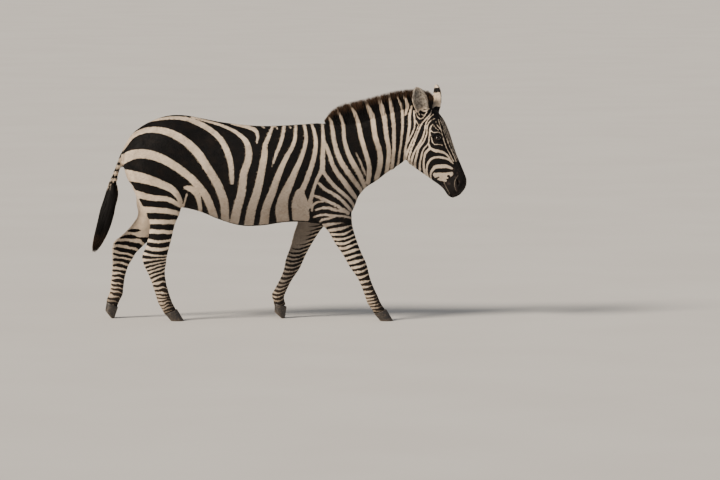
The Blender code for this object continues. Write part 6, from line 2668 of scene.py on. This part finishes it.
# ---------------------------------------------------------------- the studio
@dataclass(frozen=True)
class Studio:
    """A pale floor, soft lights and a long lens a little above the animal's back."""

    distance: float = 30.0
    lens: float = 234.4
    rise: float = math.degrees(VIEW_RISE)
    aim_ahead: float = 0.2161  # its aim, ahead of the box's middle as a share of the box's length
    aim_height: float = 0.3388  # and above the floor as a share of the box's height
    floor_reach: float = 400.0  # half the floor's side
    sky: Colour = (0.86, 0.88, 0.92)
    sky_power: float = 0.32

    def camera(self) -> None:
        """A camera on the animal's right, level enough to see along its side."""
        low, high = (np.array(corner) for corner in CAD_BOX)
        size = high - low
        aim = np.array([(low[0] + high[0]) / 2 + self.aim_ahead * size[0], 0.0,
                        low[2] + self.aim_height * size[2]])
        rise = math.radians(self.rise)
        back = np.array([0.0, -math.cos(rise), math.sin(rise)])
        data = bpy.data.cameras.new("camera")
        data.sensor_width = 36.0
        data.lens = self.lens
        data.clip_start, data.clip_end = 0.5, 1000.0
        made = bpy.data.objects.new("camera", data)
        made.location = Vector(aim + back * self.distance)
        made.rotation_euler = Vector(-back).to_track_quat("-Z", "Y").to_euler()
        bpy.context.scene.collection.objects.link(made)
        bpy.context.scene.camera = made

    def floor(self) -> None:
        """A wide pale floor with the faintest mottle."""
        mesh = bpy.data.meshes.new("floor")
        far = self.floor_reach
        mesh.from_pydata([(-far, -far, 0), (far, -far, 0), (far, far, 0), (-far, far, 0)],
                         [], [(0, 1, 2, 3)])
        graph = Graph("floor")
        mottle = graph.patches(graph.places(), 0.8, 3.0, 0.3, 0.7)
        shade = graph.mix(mottle, (0.62, 0.60, 0.57), (0.65, 0.63, 0.60))
        mesh.materials.append(graph.finish(Base_Color=shade, Roughness=0.85))
        placed("floor", mesh)

    def light(self, name: str, toward: Triple, spread: float, power: float, colour: Colour) -> None:
        """A broad soft light that shines the same everywhere, from the direction given.

        Args:
            name: what it is called.
            toward: where it shines from.
            spread: its breadth in degrees.
            power: its strength.
            colour: its colour.
        """
        data = bpy.data.lights.new(name, "SUN")
        data.angle, data.energy, data.color = math.radians(spread), power, colour
        made = bpy.data.objects.new(name, data)
        made.location = toward
        made.rotation_euler = Vector(toward).to_track_quat("Z", "Y").to_euler()
        bpy.context.scene.collection.objects.link(made)

    def build(self) -> None:
        """Everything that isn't the animal."""
        self.camera()
        self.floor()
        self.light("key", toward=(-6.4, -3.9, 6.0), spread=18.0, power=5.0, colour=(1.0, 0.89, 0.75))
        self.light("fill", toward=(6.0, -6.0, 4.0), spread=60.0, power=0.28, colour=(0.90, 0.94, 1.0))
        world = bpy.data.worlds.new("studio")
        bpy.context.scene.world = world
        world.use_nodes = True
        background = world.node_tree.nodes["Background"]
        background.inputs["Color"].default_value = (*self.sky, 1.0)
        background.inputs["Strength"].default_value = self.sky_power


# ---------------------------------------------------------------- the whole animal
@dataclass
class Zebra:
    """The animal, piece by piece."""

    shift: Array  # from the animal's own coordinates to the record's
    marks: Markings = Markings()
    lie: Lie = Lie()

    def shown(self, name: str, surface: Surface, material: bpy.types.Material,
              nodes: tuple[str, ...] = ()) -> bpy.types.Object:
        """A piece put in its place, in its finish, riding on the animal's one body.

        Args:
            name: what it is called.
            surface: its shape, in the animal's coordinates.
            material: its finish.
            nodes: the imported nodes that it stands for.

        Returns:
            The piece.
        """
        made = placed(name, surface.mesh(name, self.shift))
        return self.dressed(made, material, nodes)

    def dressed(self, made: bpy.types.Object, material: bpy.types.Material,
                nodes: tuple[str, ...] = ()) -> bpy.types.Object:
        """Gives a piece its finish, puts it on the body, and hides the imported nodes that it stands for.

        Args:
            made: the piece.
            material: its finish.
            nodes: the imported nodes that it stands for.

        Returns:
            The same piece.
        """
        made.data.materials.clear()
        made.data.materials.append(material)
        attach(made, "root")
        if nodes:
            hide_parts(*nodes)
        made.data.calc_loop_triangles()
        LOG.info("%s: %d triangles", made.name, len(made.data.loop_triangles))
        return made

    def skin(self) -> bpy.types.Mesh:
        """The one skin, with its markings as attributes, still in the animal's coordinates.

        Returns:
            The mesh.
        """
        mesh = Face().cut(Flesh().build())
        points, normals = mesh_points(mesh), mesh_normals(mesh)
        fields = self.marks.fields(points, normals)
        fields["lay"] = self.lie.coordinates(points)
        write_fields(mesh, fields)
        mesh.shade_smooth()
        return mesh

    def flesh_nodes(self) -> tuple[str, ...]:
        """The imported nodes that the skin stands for."""
        names = ["trunk", "neck", "head", "ear_left", "ear_right", "tail_dock"]
        names += [f"{leg.name}_{half}" for leg in LEGS for half in ("upper", "lower")]
        return tuple(names)

    def tufts(self, mesh: bpy.types.Mesh) -> None:
        """The short coat's tufts, in pieces by part of the body.

        Args:
            mesh: the skin's mesh.
        """
        coat = CoatTufts(mesh, self.lie)
        material = CoatFinish().tufts()
        for name, sowings in COAT.items():
            self.shown(name, joined([coat.tufts(sown) for sown in sowings]), material)

    def build(self) -> None:
        """Builds, dresses and places every piece."""
        mesh = self.skin()
        self.tufts(mesh)
        mesh.transform(Matrix.Translation(Vector(self.shift)))
        self.dressed(placed("zebra_skin", mesh), CoatFinish().skin(), self.flesh_nodes())
        mane = LongHairFinish()
        self.shown("mane_locks", Mane(self.lie, self.marks).build(), mane.material(), ("mane",))
        tail = LongHairFinish(name="tail_hair", tips_from=0.70, pale_tips=0.3, brown=(0.060, 0.036, 0.022))
        self.shown("tail_locks", TailHair(self.lie).build(), tail.material(), ("tail_tuft",))
        fine = FineHair(self.lie)
        pale = LongHairFinish(name="fine_hair", tips_from=2.0, white=(0.50, 0.45, 0.39),
                              black=(0.05, 0.042, 0.036))
        self.shown("ear_hair", fine.ears(), pale.material())
        self.shown("eye_lashes", fine.lashes(), pale.material())
        gloss, horn = EyeFinish().material(), HornFinish().material()
        for side, name in SIDES:
            self.shown(f"eyeball_{name}", Eye(side).build(), gloss, (f"eye_{name}",))
        for leg in LEGS:
            self.shown(f"horn_{leg.name}", Hoof(leg).build(), horn, (f"hoof_{leg.name}",))


def main() -> None:
    """Builds the studio and the animal."""
    logging.basicConfig(level=logging.INFO, format="%(name)s: %(message)s")
    low, high = (np.array(corner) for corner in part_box("eye_left"))
    Studio().build()
    Zebra((low + high) / 2 - turned(EYE_PLACE)).build()


if __name__ == "__main__":
    main()
